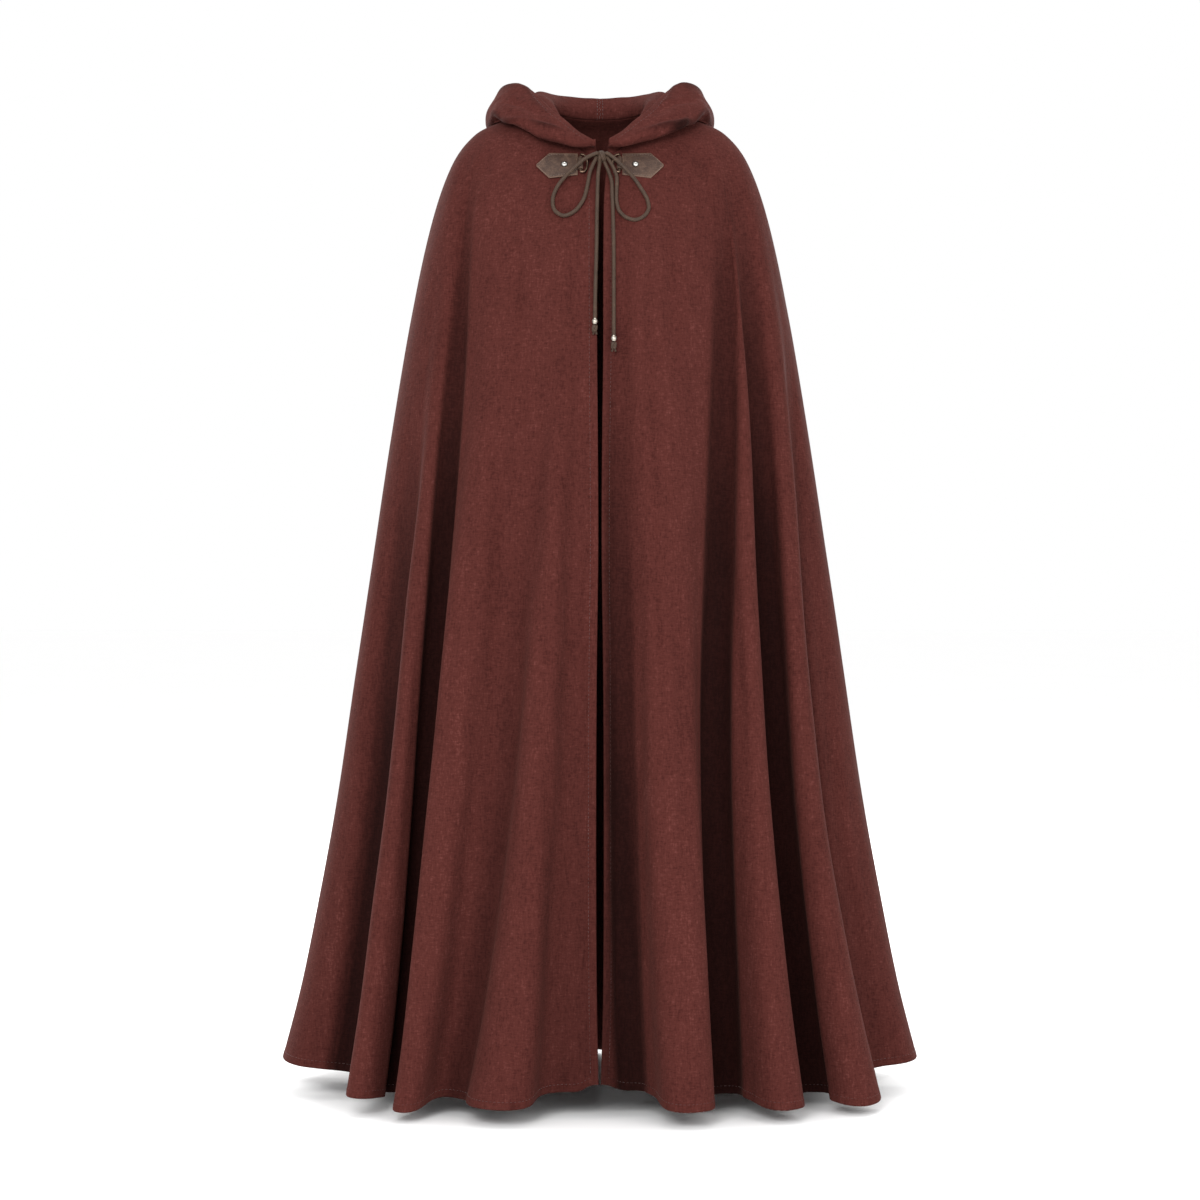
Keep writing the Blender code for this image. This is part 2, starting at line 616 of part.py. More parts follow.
def add_tube(name, path, diameter, material, closed=False):
    """A round tube along a path, as a curve with a bevel."""
    curve = bpy.data.curves.new(name, "CURVE")
    curve.dimensions = "3D"
    curve.bevel_depth = diameter / 2
    curve.bevel_resolution = 2
    curve.use_fill_caps = True
    curve.twist_mode = "MINIMUM"
    spline = curve.splines.new("POLY")
    spline.points.add(len(path) - 1)
    for place, point in zip(spline.points, path):
        place.co = (*point, 1.0)
    spline.use_cyclic_u = closed
    curve.materials.append(material)
    thing = bpy.data.objects.new(name, curve)
    bpy.context.scene.collection.objects.link(thing)
    return thing


def knot_centre():
    """The middle of the knot."""
    return on_front(KNOT_CENTRE[0], KNOT_CENTRE[1], KNOT_LIFT)[0]


def knot_exit(point):
    """Where a strand leaves the knot towards a point, and the place a little further along it."""
    centre = knot_centre()
    away = point - centre
    reach = Vector((away.x / KNOT_HALF_LENGTH, away.y / KNOT_RADIUS, away.z / KNOT_RADIUS)).length
    start = centre + away / reach + away.normalized() * SEAM_GAP
    return start, start + away.normalized() * KNOT_STUB


def lace_path(stretch, loop=False):
    """Points of a stretch of lace in front of the cloth, at the spacing its tube needs."""
    points = [on_front(x, z, lift)[0] for x, z, lift in stretch]
    start, points[0] = knot_exit(points[0])
    if loop:
        end, points[-1] = knot_exit(points[-1])
    length = sum((b - a).length for a, b in zip(points, points[1:]))
    count = max(LACE_FEWEST, round(length / (LACE_SPACING * LACE_DIAMETER)) + 1)
    path = [start, *even_path(points, count)]
    if loop:
        path.append(end)
    return path


def make_ball(name, centre, axis, radii, material, sides=BALL_SIDES, rings=BALL_RINGS):
    """A rounded solid with the given radius across and half length along its axis."""
    across, along = radii
    profile = [(0.0, -along)]
    for step in range(1, rings + 1):
        angle = math.pi * step / (rings + 1)
        profile.append((across * math.sin(angle), -along * math.cos(angle)))
    profile.append((0.0, along))
    return make_turned(name, profile, centre, axis, sides, material)


def make_tail(side_name, stretch, lace, metal):
    """A hanging end of the lace with its bead and the knot under it."""
    path = lace_path(stretch)
    add_tube(f"lace_tail_{side_name}", path, LACE_DIAMETER, lace)
    end = Vector(path[-1])
    down = (end - Vector(path[-2])).normalized()
    bead = end + down * (BEAD_RADIUS + SEAM_GAP)
    make_ball(f"bead_{side_name}", bead, down, (BEAD_RADIUS, BEAD_RADIUS), metal)
    knot = bead + down * (BEAD_RADIUS + SEAM_GAP + END_KNOT_HALF_LENGTH)
    make_ball(f"end_knot_{side_name}", knot, down, (END_KNOT_RADIUS, END_KNOT_HALF_LENGTH), lace)


def make_lace(lace, metal):
    """The knot, the spans to the rings, the two loops and the two tails."""
    size = (KNOT_RADIUS, KNOT_HALF_LENGTH)
    make_ball("lace_knot", knot_centre(), (1.0, 0.0, 0.0), size, lace, KNOT_SIDES, KNOT_RINGS)
    add_tube("lace_span_left", lace_path(SPAN_LEFT), LACE_DIAMETER, lace)
    add_tube("lace_span_right", lace_path(SPAN_RIGHT), LACE_DIAMETER, lace)
    add_tube("lace_loop_left", lace_path(LOOP_LEFT, True), LACE_DIAMETER, lace)
    add_tube("lace_loop_right", lace_path(LOOP_RIGHT, True), LACE_DIAMETER, lace)
    make_tail("left", TAIL_LEFT, lace, metal)
    make_tail("right", TAIL_RIGHT, lace, metal)


def main():
    clear_scene()
    cloth = make_material("cloth", CLOTH_COLOUR, 0.95)
    leather = make_material("leather", LEATHER_COLOUR, 0.55)
    lace = make_material("lace", LACE_COLOUR, 0.6)
    metal = make_material("bright_metal", METAL_COLOUR, 0.25, 1.0)
    bronze = make_material("dark_metal", BRONZE_COLOUR, 0.4, 1.0)
    make_cloak(cloth)
    make_hood(cloth)
    for side_name, side in (("left", -1), ("right", 1)):
        make_tab(f"tab_{side_name}", side, leather)
        make_rivet(f"rivet_{side_name}", side, metal)
        make_keeper(f"keeper_{side_name}", side, leather)
        add_tube(f"ring_{side_name}", ring_outline(side), 2 * WIRE_RADIUS, bronze, closed=True)
    make_lace(lace, metal)


main()
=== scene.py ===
"""The looks of the hooded cloak: its cloth, leather, lace and metal, and the studio they stand in.

The cloth follows the solids' own form. The tables and the functions that shape it are the ones its solids
were made from, followed more finely here, with creases, hems and seams added.
"""

import math

import bpy
import numpy as np
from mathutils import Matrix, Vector


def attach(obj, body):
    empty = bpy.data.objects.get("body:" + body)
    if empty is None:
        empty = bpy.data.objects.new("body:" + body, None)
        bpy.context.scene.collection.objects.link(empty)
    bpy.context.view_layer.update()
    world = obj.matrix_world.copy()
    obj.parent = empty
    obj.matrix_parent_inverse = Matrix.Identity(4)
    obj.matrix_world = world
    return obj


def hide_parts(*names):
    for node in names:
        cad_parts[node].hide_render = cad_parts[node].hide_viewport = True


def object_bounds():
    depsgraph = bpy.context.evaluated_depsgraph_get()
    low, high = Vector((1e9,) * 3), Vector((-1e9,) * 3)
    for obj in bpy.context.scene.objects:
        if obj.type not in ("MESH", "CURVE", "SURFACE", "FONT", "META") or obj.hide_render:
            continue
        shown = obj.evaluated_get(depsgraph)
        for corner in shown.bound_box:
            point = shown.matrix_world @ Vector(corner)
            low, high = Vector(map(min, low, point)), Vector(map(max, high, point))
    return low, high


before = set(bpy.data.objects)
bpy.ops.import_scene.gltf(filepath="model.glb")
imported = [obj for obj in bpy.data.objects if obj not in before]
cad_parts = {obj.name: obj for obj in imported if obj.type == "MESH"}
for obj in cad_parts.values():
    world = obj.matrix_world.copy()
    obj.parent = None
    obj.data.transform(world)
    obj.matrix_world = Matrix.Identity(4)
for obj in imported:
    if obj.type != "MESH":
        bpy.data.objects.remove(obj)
solid_low, solid_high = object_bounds()

# Cloth, leather and wire
CLOTH = 0.002
SEAM_GAP = 0.0003
LEATHER = 0.0022
LACE_DIAMETER = 0.0054
WIRE_RADIUS = 0.0015

# Level sections of the cloak from neck to hem: half width, depth in front and behind, heights at the front,
# sides and back, and where the two front edges lie
SECTION_COLUMNS = ("half_width", "front", "back", "z_front", "z_side", "z_back", "left_edge", "right_edge")
SECTIONS = (
    (0.072, 0.088, 0.062, -0.052, 0.030, 0.026, -0.0055, 0.0115),
    (0.112, 0.107, 0.086, -0.082, 0.019, 0.008, -0.0050, 0.0080),
    (0.150, 0.122, 0.108, -0.118, 0.008, -0.022, -0.0045, 0.0055),
    (0.183, 0.134, 0.126, -0.155, -0.010, -0.058, -0.0045, 0.0050),
    (0.214, 0.144, 0.140, -0.200, -0.052, -0.105, -0.0045, 0.0045),
    (0.243, 0.154, 0.154, -0.265, -0.135, -0.185, -0.0040, 0.0045),
    (0.272, 0.166, 0.168, -0.345, -0.270, -0.300, -0.0040, 0.0045),
    (0.299, 0.182, 0.186, -0.470, -0.450, -0.460, -0.0030, 0.0030),
    (0.322, 0.200, 0.208, -0.620, -0.630, -0.640, -0.0025, 0.0025),
    (0.344, 0.218, 0.230, -0.780, -0.805, -0.815, -0.0045, 0.0045),
    (0.365, 0.236, 0.254, -0.950, -0.970, -0.985, -0.0055, 0.0055),
    (0.388, 0.251, 0.276, -1.110, -1.115, -1.140, -0.0055, 0.0055),
    (0.410, 0.262, 0.290, -1.250, -1.240, -1.270, -0.0045, 0.0045),
    (0.434, 0.270, 0.302, -1.366, -1.345, -1.381, -0.0020, 0.0010),
)
HEM_LEVEL = len(SECTIONS) - 1

# Fold lines round the cloak from the right front edge over the back to the left front edge: degrees from the
# front at the shoulder, chest, waist and hem (the levels named first), swell at the hem (out of a ridge, into
# a valley), the height where it starts, how far the hem hangs down there, and how steep the cloth stands up
# to the next line
FOLD_LEVELS = (4.0, 6.0, 8.4, 13.0)
FOLDS = {
    "right_edge": (1.2, 0.9, 0.5, 0.2, -0.044, -0.20, -0.023, 0.2),
    "right_recess": (5.0, 5.0, 4.5, 6.0, -0.047, -0.20, -0.012, 0.9),
    "right_inner": (16.0, 15.0, 15.6, 15.6, 0.042, -0.16, 0.003, 1.05),
    "right_valley": (53.0, 40.8, 30.9, 25.0, -0.042, -0.02, 0.000, 0.7),
    "right_middle": (57.0, 46.0, 38.0, 34.0, 0.040, -0.03, 0.012, 0.8),
    "right_furrow": (62.0, 51.9, 44.7, 43.6, -0.042, -0.05, 0.014, 0.7),
    "right_outer": (70.0, 64.0, 54.0, 52.6, 0.042, -0.08, 0.024, 1.0),
    "right_hollow": (79.0, 74.0, 62.0, 66.0, -0.036, -0.30, 0.002, 0.6),
    "right_side": (90.0, 90.0, 90.0, 90.0, 0.024, -0.25, -0.004, 0.5),
    "back_valley_1": (104.0, 104.0, 106.0, 103.5, -0.036, -0.30, -0.004, 0.6),
    "back_ridge_1": (115.0, 116.0, 117.0, 114.0, 0.040, -0.18, 0.006, 0.9),
    "back_valley_2": (126.0, 127.0, 128.0, 125.5, -0.040, -0.16, -0.002, 0.7),
    "back_ridge_2": (139.0, 139.0, 139.0, 138.0, 0.042, -0.24, 0.006, 0.8),
    "back_valley_3": (151.0, 151.0, 151.0, 150.0, -0.042, -0.28, -0.003, 0.8),
    "back_ridge_3": (162.0, 162.0, 163.0, 162.5, 0.040, -0.32, 0.005, 0.7),
    "back_valley_4": (172.0, 172.0, 172.0, 173.0, -0.038, -0.32, -0.003, 0.6),
    "back_ridge_4": (184.0, 184.0, 184.0, 184.5, 0.044, -0.28, 0.006, 0.9),
    "back_valley_5": (196.0, 196.0, 195.0, 196.0, -0.042, -0.30, -0.003, 0.7),
    "back_ridge_5": (207.0, 207.0, 208.0, 208.5, 0.040, -0.26, 0.005, 0.8),
    "back_valley_6": (219.0, 219.0, 219.0, 220.5, -0.042, -0.22, -0.003, 0.8),
    "back_ridge_6": (232.0, 231.0, 231.0, 232.0, 0.040, -0.24, 0.006, 0.7),
    "back_valley_7": (244.0, 243.0, 242.0, 243.0, -0.040, -0.16, -0.002, 0.7),
    "back_ridge_7": (254.0, 253.0, 253.0, 253.5, 0.036, -0.22, 0.006, 0.8),
    "back_valley_8": (262.0, 262.0, 262.0, 262.0, -0.016, -0.30, 0.000, 0.5),
    "left_side": (270.0, 270.0, 270.0, 270.0, 0.024, -0.25, -0.004, 0.6),
    "left_hollow": (284.0, 298.0, 301.0, 305.7, -0.036, -0.40, 0.000, 0.7),
    "left_outer": (295.0, 305.0, 309.1, 312.8, 0.040, -0.20, 0.008, 1.0),
    "left_furrow": (302.0, 312.6, 316.3, 318.4, -0.040, -0.03, 0.013, 0.8),
    "left_middle": (314.0, 329.0, 324.0, 323.8, 0.040, -0.12, 0.017, 0.9),
    "left_valley": (334.0, 343.0, 339.6, 329.6, -0.030, -0.22, 0.003, 0.4),
    "left_inner": (348.0, 349.6, 347.7, 341.9, 0.034, -0.18, 0.002, 0.9),
    "left_recess": (355.0, 355.0, 355.0, 354.5, -0.047, -0.20, -0.012, 0.3),
    "left_edge": (359.0, 359.2, 359.6, 359.7, -0.044, -0.20, -0.023, 0.0),
}
FOLD_GROWTH = 1.15
EDGE_STRIP = 0.06

# The hood, lying down: for each bearing from the front, how far out and up (in pairs) its cloth runs from the
# neck seam over the crest, down along the cloak, round its lowest turn, up its outer side and over the peak
# to the edge round the face
HOOD = (
    (6, 0.0890, -0.0385, 0.0920, -0.0375, 0.0950, -0.0370, 0.0975, -0.0350, 0.0990, -0.0325, 0.0995, -0.0290),
    (16, 0.0895, -0.033, 0.0970, -0.0355, 0.1060, -0.0395, 0.1125, -0.0350, 0.1085, -0.0260, 0.0990, -0.0195),
    (31, 0.0880, -0.0165, 0.0975, -0.0225, 0.1120, -0.0320, 0.1195, -0.0260, 0.1100, -0.0100, 0.0950, 0.0010),
    (47, 0.0850, 0.0050, 0.0990, -0.0045, 0.1190, -0.0210, 0.1280, -0.0140, 0.1130, 0.0080, 0.0935, 0.0185),
    (65, 0.0830, 0.0260, 0.1020, 0.0160, 0.1300, -0.0030, 0.1420, 0.0030, 0.1170, 0.0350, 0.0930, 0.0390),
    (82, 0.0870, 0.0440, 0.1070, 0.0330, 0.1440, 0.0130, 0.1510, 0.0190, 0.1170, 0.0610, 0.0985, 0.0540),
    (95, 0.0930, 0.0540, 0.1130, 0.0360, 0.1550, 0.0100, 0.1620, 0.0165, 0.1180, 0.0680, 0.1040, 0.0610),
    (110, 0.0950, 0.0620, 0.1180, 0.0380, 0.1660, -0.0040, 0.1740, 0.0060, 0.1230, 0.0670, 0.1090, 0.0600),
    (130, 0.0920, 0.0630, 0.1220, 0.0270, 0.1760, -0.0520, 0.1900, -0.0330, 0.1530, 0.0440, 0.1310, 0.0450),
    (155, 0.0790, 0.0600, 0.1200, 0.0000, 0.1760, -0.1400, 0.2050, -0.1120, 0.1990, -0.0050, 0.1670, 0.0230),
    (180, 0.0700, 0.0570, 0.1200, -0.0200, 0.1760, -0.1900, 0.2080, -0.1560, 0.2110, -0.0450, 0.1830, 0.0060),
)
# How far the hood's lip and root reach up from the neck seam, how far its underside stays off the cloak, and
# the flattest slope (as a sine) for which that is widened
HOOD_LIP = 0.0024
HOOD_ROOT = 0.0045
HOOD_REST = 0.0050
HOOD_FLATTEST = 0.4

# A leather tab from its folded end to its point: distance from the middle, top and bottom
TAB = (
    (0.0315, -0.0490, -0.0815),
    (0.0510, -0.0485, -0.0838),
    (0.0715, -0.0480, -0.0860),
    (0.0895, -0.0650, -0.0680),
)
TAB_HEIGHT = 0.034
TAB_COLUMNS = 72
TAB_ROWS = 34

# Near a tab's edge: extra lines of the grid, how far it is rounded and to what share of its thickness, the
# groove for its stitches as depth, inset and half width, how rubbed it is inside, and how far the edge's rub
# reaches
TAB_EDGE_LINES = (0.0, 0.0004, 0.0009, 0.0016)
TAB_ROUNDING = 0.0011
TAB_EDGE_SHARE = 0.35
TAB_GROOVE = (0.00035, 0.0030, 0.0007)
TAB_WORN = 0.24
TAB_WORN_REACH = 0.0012
TAB_STITCH_LENGTH = 0.0024
TAB_STITCH_PITCH = 0.0038
TAB_THREAD_RADIUS = 0.00036
TAB_STITCH_SINK = 0.0002
TAB_STITCH_STEPS = 10

# The rivet through each tab, its rolled rim, and its head as shares of its radius and height from its foot up
RIVET_OUT = 0.0500
RIVET_UP = -0.0660
RIVET_RADIUS = 0.0046
RIVET_HEIGHT = 0.0026
RIM_WIRE = 0.0011
RIVET_HEAD = (
    (0.0, 0.0),
    (0.92, 0.0),
    (0.92, 0.16),
    (0.88, 0.34),
    (0.80, 0.54),
    (0.68, 0.74),
    (0.54, 0.88),
    (0.38, 0.97),
    (0.24, 1.0),
    (0.16, 0.96),
    (0.10, 0.86),
    (0.0, 0.84),
)

# The folded end of a tab round its ring's bar, and the ring
KEEPER_OUT = 0.0276
KEEPER_UP = -0.0655
KEEPER_HEIGHT = 0.0210
KEEPER_HALF_WIDTH = 0.0036
KEEPER_HALF_DEPTH = 0.0034
KEEPER_WALL = 0.00165
KEEPER_LIFT = 0.0050
KEEPER_WORN = 0.25
KEEPER_RIM_WORN = 0.7
RING_HEIGHT = 0.0320
RING_REACH = 0.0095
RING_FULLNESS = 0.6
RING_BAR_STOPS = (0.8, 0.5, 0.0, -0.5, -0.8)

# Round the wall of a tab's folded end, up its outside and down its inside: height as a share of its half
# height and metres more, and how far in as a share of its wall
KEEPER_PROFILE = (
    (-1.0, 0.0, 0.55),
    (-1.0, 0.0002, 0.20),
    (-1.0, 0.0009, 0.02),
    (-0.5, 0.0, 0.0),
    (0.0, 0.0, -0.03),
    (0.5, 0.0, 0.0),
    (1.0, -0.0009, 0.02),
    (1.0, -0.0002, 0.20),
    (1.0, 0.0, 0.55),
    (1.0, -0.0002, 0.95),
    (0.0, 0.0, 1.0),
    (-1.0, 0.0002, 0.95),
)

# The lace's knot and, for each stretch, places by distance to the side (x), height, and lift off the cloth. A
# stretch starts at the knot's surface and a loop ends there too, both facing the place given, with a straight
# stub.
KNOT_CENTRE = (0.0028, -0.0590)
KNOT_LIFT = 0.0115
KNOT_HALF_LENGTH = 0.0080
KNOT_RADIUS = 0.0068
KNOT_STUB = 0.0025
SPAN_LEFT = (
    (-0.0049, -0.0570, 0.0115),
    (-0.0108, -0.0566, 0.0094),
    (-0.0177, -0.0572, 0.0060),
)
SPAN_RIGHT = (
    (0.0104, -0.0570, 0.0115),
    (0.0138, -0.0567, 0.0092),
    (0.0178, -0.0572, 0.0062),
)
LOOP_LEFT = (
    (-0.0042, -0.0600, 0.0178),
    (-0.0120, -0.0618, 0.0165),
    (-0.0203, -0.0650, 0.0150),
    (-0.0308, -0.0724, 0.0128),
    (-0.0462, -0.0850, 0.0090),
    (-0.0605, -0.1024, 0.0056),
    (-0.0662, -0.1204, 0.0042),
    (-0.0630, -0.1347, 0.0040),
    (-0.0501, -0.1424, 0.0040),
    (-0.0371, -0.1372, 0.0040),
    (-0.0242, -0.1217, 0.0050),
    (-0.0176, -0.0997, 0.0062),
    (-0.0137, -0.0802, 0.0090),
    (-0.0085, -0.0690, 0.0118),
    (-0.0058, -0.0638, 0.0128),
)
LOOP_RIGHT = (
    (0.0098, -0.0600, 0.0178),
    (0.0186, -0.0645, 0.0160),
    (0.0315, -0.0750, 0.0135),
    (0.0445, -0.0868, 0.0092),
    (0.0574, -0.1036, 0.0056),
    (0.0665, -0.1204, 0.0042),
    (0.0678, -0.1320, 0.0040),
    (0.0602, -0.1438, 0.0040),
    (0.0483, -0.1483, 0.0040),
    (0.0367, -0.1452, 0.0040),
    (0.0270, -0.1360, 0.0040),
    (0.0232, -0.1231, 0.0042),
    (0.0230, -0.1060, 0.0054),
    (0.0232, -0.0868, 0.0078),
    (0.0180, -0.0740, 0.0102),
    (0.0114, -0.0638, 0.0128),
)
TAIL_LEFT = (
    (-0.0010, -0.0690, 0.0106),
    (-0.0022, -0.0800, 0.0085),
    (-0.0038, -0.1200, 0.0056),
    (-0.0049, -0.1900, 0.0042),
    (-0.0066, -0.2600, 0.0040),
    (-0.0070, -0.2885, 0.0040),
)
TAIL_RIGHT = (
    (0.0070, -0.0692, 0.0098),
    (0.0120, -0.0790, 0.0066),
    (0.0156, -0.0900, 0.0054),
    (0.0170, -0.1130, 0.0050),
    (0.0186, -0.1620, 0.0042),
    (0.0190, -0.2600, 0.0040),
    (0.0190, -0.3125, 0.0040),
)

# Inside the bow's knot: the strands that cross in it, from its side to its middle, and the turns round them
# as offset to the side, lean and half depth
KNOT_OVER = (
    (0.0072, -0.0010, 0.0012),
    (0.0056, -0.0024, 0.0012),
    (0.0030, -0.0036, 0.0002),
    (0.0, -0.0038, -0.0008),
)
KNOT_UNDER = ((0.0064, 0.0, -0.0034), (0.0042, -0.0016, -0.0030), (0.0, -0.0022, -0.0010))
KNOT_TURNS = ((-0.0026, 0.0016, 0.0068), (0.0026, -0.0016, 0.0068), (0.0002, -0.0032, 0.0086))
KNOT_TURN_HEIGHT = 0.0066
KNOT_TURN_DROP = 0.0020
KNOT_TURN_WIDTH = 0.95
CROSSING_POINTS = 14

# A bead, as shares of its radius from one end to the other, and the overhand knot under it with its tips
BEAD_RADIUS = 0.0043
BEAD_HALF = ((0.0, 0.96), (0.42, 0.97), (0.52, 1.0), (0.60, 0.95), (0.60, 0.84), (0.80, 0.62), (0.95, 0.32))
END_KNOT_RADIUS = 0.0044
END_KNOT_HALF_LENGTH = 0.0057
END_KNOT_TUBE = 0.0019
END_KNOT_STEPS = 64
KNOT_END = ((0.0, 0.0, 0.0), (0.0010, -0.0016, 0.0040), (0.0026, -0.0012, 0.0082))
TIP_WIDTH = 1.5

# How finely curves are followed, round things divided and places searched for
CURVE_STEPS = 12
ROUND_STEPS = 48
BEAD_SIDES = 40
KEEPER_SIDES = 40
FINE_STEP = 0.01
SLOPE_STEP = 0.002
SLOPE_LEVEL = 0.1

# How finely the cloth is followed, and the rows added near the hem and the columns added near the side seams
FRONT_STEPS = 24
BACK_STEPS = 13
FRONT_ROWS = 200
BACK_ROWS = 190
HEM_ROWS = (0.010, 0.030, 0.060, 0.080, 0.092, 0.104, 0.116, 0.130, 0.150)
SEAM_STOPS = (0.006, 0.018, 0.036)
HOOD_COLUMNS = 190
HOOD_FINE_STEPS = (3, 4, 12, 16, 20, 18, 30, 18)

# Thickness of the cloth at distances from an edge that is turned in and stitched, and from a seam; then its
# stitches, how high each stands along its length, and the rows over the hem where the front edge's end
TURNING = (
    (0.0000, 0.0012),
    (0.0012, 0.0028),
    (0.0070, 0.0031),
    (0.0096, 0.0029),
    (0.0108, 0.0022),
    (0.0122, 0.0027),
    (0.0150, 0.0020),
)
SEAM_EDGE = ((0.0, 0.0014), (0.0015, 0.0017), (0.0040, 0.0020))
SEAM_REACH = 0.0040
SEAM_TOUCH = 0.00001
HEM_EXTRA = 0.0012
STITCH_INSET = 0.0108
CENTRE_STITCH_INSET = 0.0040
STITCH_LIFT = 0.0001
STITCH_LENGTH = 0.0042
STITCH_PITCH = 0.0056
THREAD_RADIUS = 0.00032
STITCH_SHAPE = ((0.15, 0.8), (0.5, 1.15), (0.85, 0.8))
EDGE_STITCH_END = 8

# Broad unevenness of the cloth: waves a metre across and along, height, the waves it is made of as size,
# lean and phase, and how much finer and flatter it is on the hood
DRIFT_ACROSS = 9.0
DRIFT_ALONG = 3.2
DRIFT_HEIGHT = 0.0022
DRIFT_WAVES = ((1.0, 0.9, 0.3), (1.7, -0.7, 1.9), (2.6, 0.5, 4.1), (3.9, -0.4, 2.7))
HOOD_DRIFT_SIZE = 2.2
HOOD_DRIFT_SHARE = 0.5

# How far from its edges a cloth's relief has grown to its full height: from the neck seam and from the side
# of a panel; from the face edge, the neck seam and the centre seam of the hood
PANEL_SETTLE = (0.05, 0.02)
HOOD_SETTLE = (0.010, 0.03, 0.012)

# How rubbed and shaded flat cloth is and how light its painted fold shade leaves it, how rubbed the face
# edge of the hood is and how far in, and how much relief, ridge, valley and crevice lighten or darken the
# cloth for each metre of them. Raised relief is lighter and creases and crevices darker, partly from wear and
# partly as painted shade; ridges get a painted highlight, and valleys and crevices get painted shade.
FLAT_WEAR_AND_SHADE = 0.5
HOOD_FLAT_WEAR_AND_SHADE = 0.55
FOLD_SHADE_LEVEL = 0.45
FACE_EDGE_WORN = 0.35
FACE_EDGE_REACH = 0.003
WEAR_AND_SHADE_PER_METRE = 60.0
HOOD_WEAR_AND_SHADE_PER_METRE = 70.0
HOOD_FOLD_SHADE_PER_METRE = 60.0
RIDGE_HIGHLIGHT_PER_METRE = 7.0
VALLEY_SHADE_PER_METRE = 3.0
CREVICE_SHADE_PER_METRE = 28.0

# How much deeper the cloth folds in along each valley line: depth, half width, and how far round it lies at
# the hem, all reached where the valley has its full swell
CREVICE_SWELL = 0.040
CREVICE_GROWTH = 0.7
CREVICES = {
    "right_edge": (0.004, 0.020, 0.0),
    "right_recess": (0.014, 0.020, 0.0),
    "right_valley": (0.026, 0.021, 0.0),
    "right_furrow": (0.028, 0.025, 0.016),
    "right_hollow": (0.014, 0.022, 0.0),
    "back_valley_1": (0.018, 0.019, 0.0),
    "back_valley_2": (0.024, 0.018, 0.0),
    "back_valley_3": (0.020, 0.015, 0.0),
    "back_valley_4": (0.014, 0.016, 0.0),
    "back_valley_5": (0.023, 0.017, 0.0),
    "back_valley_6": (0.019, 0.015, 0.0),
    "back_valley_7": (0.023, 0.018, 0.0),
    "back_valley_8": (0.012, 0.016, 0.0),
    "left_hollow": (0.026, 0.034, -0.040),
    "left_furrow": (0.030, 0.016, -0.014),
    "left_valley": (0.006, 0.024, 0.022),
}

# Creases on the fronts: depth (raised if negative), half width, and the places each runs through as x and
# height
FRONT_CREASES = (
    (0.0040, 0.014, ((-0.186, -0.040), (-0.196, -0.110), (-0.203, -0.200), (-0.207, -0.300))),
    (0.0030, 0.012, ((-0.118, -0.150), (-0.112, -0.260), (-0.118, -0.380))),
    (0.0028, 0.016, ((-0.060, -0.190), (-0.056, -0.330), (-0.048, -0.520), (-0.046, -0.760))),
    (0.0026, 0.012, ((-0.030, -0.100), (-0.040, -0.240), (-0.036, -0.420))),
    (0.0036, 0.015, ((-0.150, -0.420), (-0.142, -0.600), (-0.146, -0.820), (-0.160, -1.050))),
    (-0.0030, 0.015, ((-0.100, -0.560), (-0.094, -0.760), (-0.096, -1.020))),
    (0.0032, 0.013, ((-0.074, -0.840), (-0.070, -1.040), (-0.076, -1.300))),
    (0.0022, 0.010, ((-0.026, -0.560), (-0.028, -0.760), (-0.024, -1.000))),
    (0.0030, 0.012, ((-0.292, -0.470), (-0.312, -0.700), (-0.340, -0.960), (-0.372, -1.230))),
    (-0.0026, 0.013, ((-0.330, -0.820), (-0.352, -1.040), (-0.392, -1.290))),
    (0.0026, 0.011, ((-0.248, -0.700), (-0.262, -0.930), (-0.276, -1.120))),
    (0.0038, 0.013, ((0.182, -0.050), (0.190, -0.120), (0.186, -0.210), (0.192, -0.330))),
    (-0.0028, 0.011, ((0.160, -0.050), (0.170, -0.130), (0.168, -0.240))),
    (0.0028, 0.014, ((0.094, -0.130), (0.104, -0.250), (0.108, -0.400))),
    (0.0028, 0.012, ((0.062, -0.240), (0.074, -0.400), (0.078, -0.600), (0.084, -0.820))),
    (0.0026, 0.011, ((0.032, -0.110), (0.036, -0.240), (0.030, -0.400))),
    (0.0034, 0.013, ((0.106, -0.640), (0.112, -0.860), (0.120, -1.120))),
    (-0.0026, 0.012, ((0.066, -0.660), (0.070, -0.900), (0.076, -1.180))),
    (0.0030, 0.011, ((0.180, -0.520), (0.192, -0.760), (0.206, -1.030))),
    (0.0030, 0.012, ((0.232, -0.430), (0.246, -0.640), (0.262, -0.860), (0.280, -1.090))),
    (0.0026, 0.012, ((0.272, -0.330), (0.292, -0.560), (0.318, -0.820))),
    (-0.0026, 0.012, ((0.330, -0.800), (0.356, -1.020), (0.400, -1.270))),
)

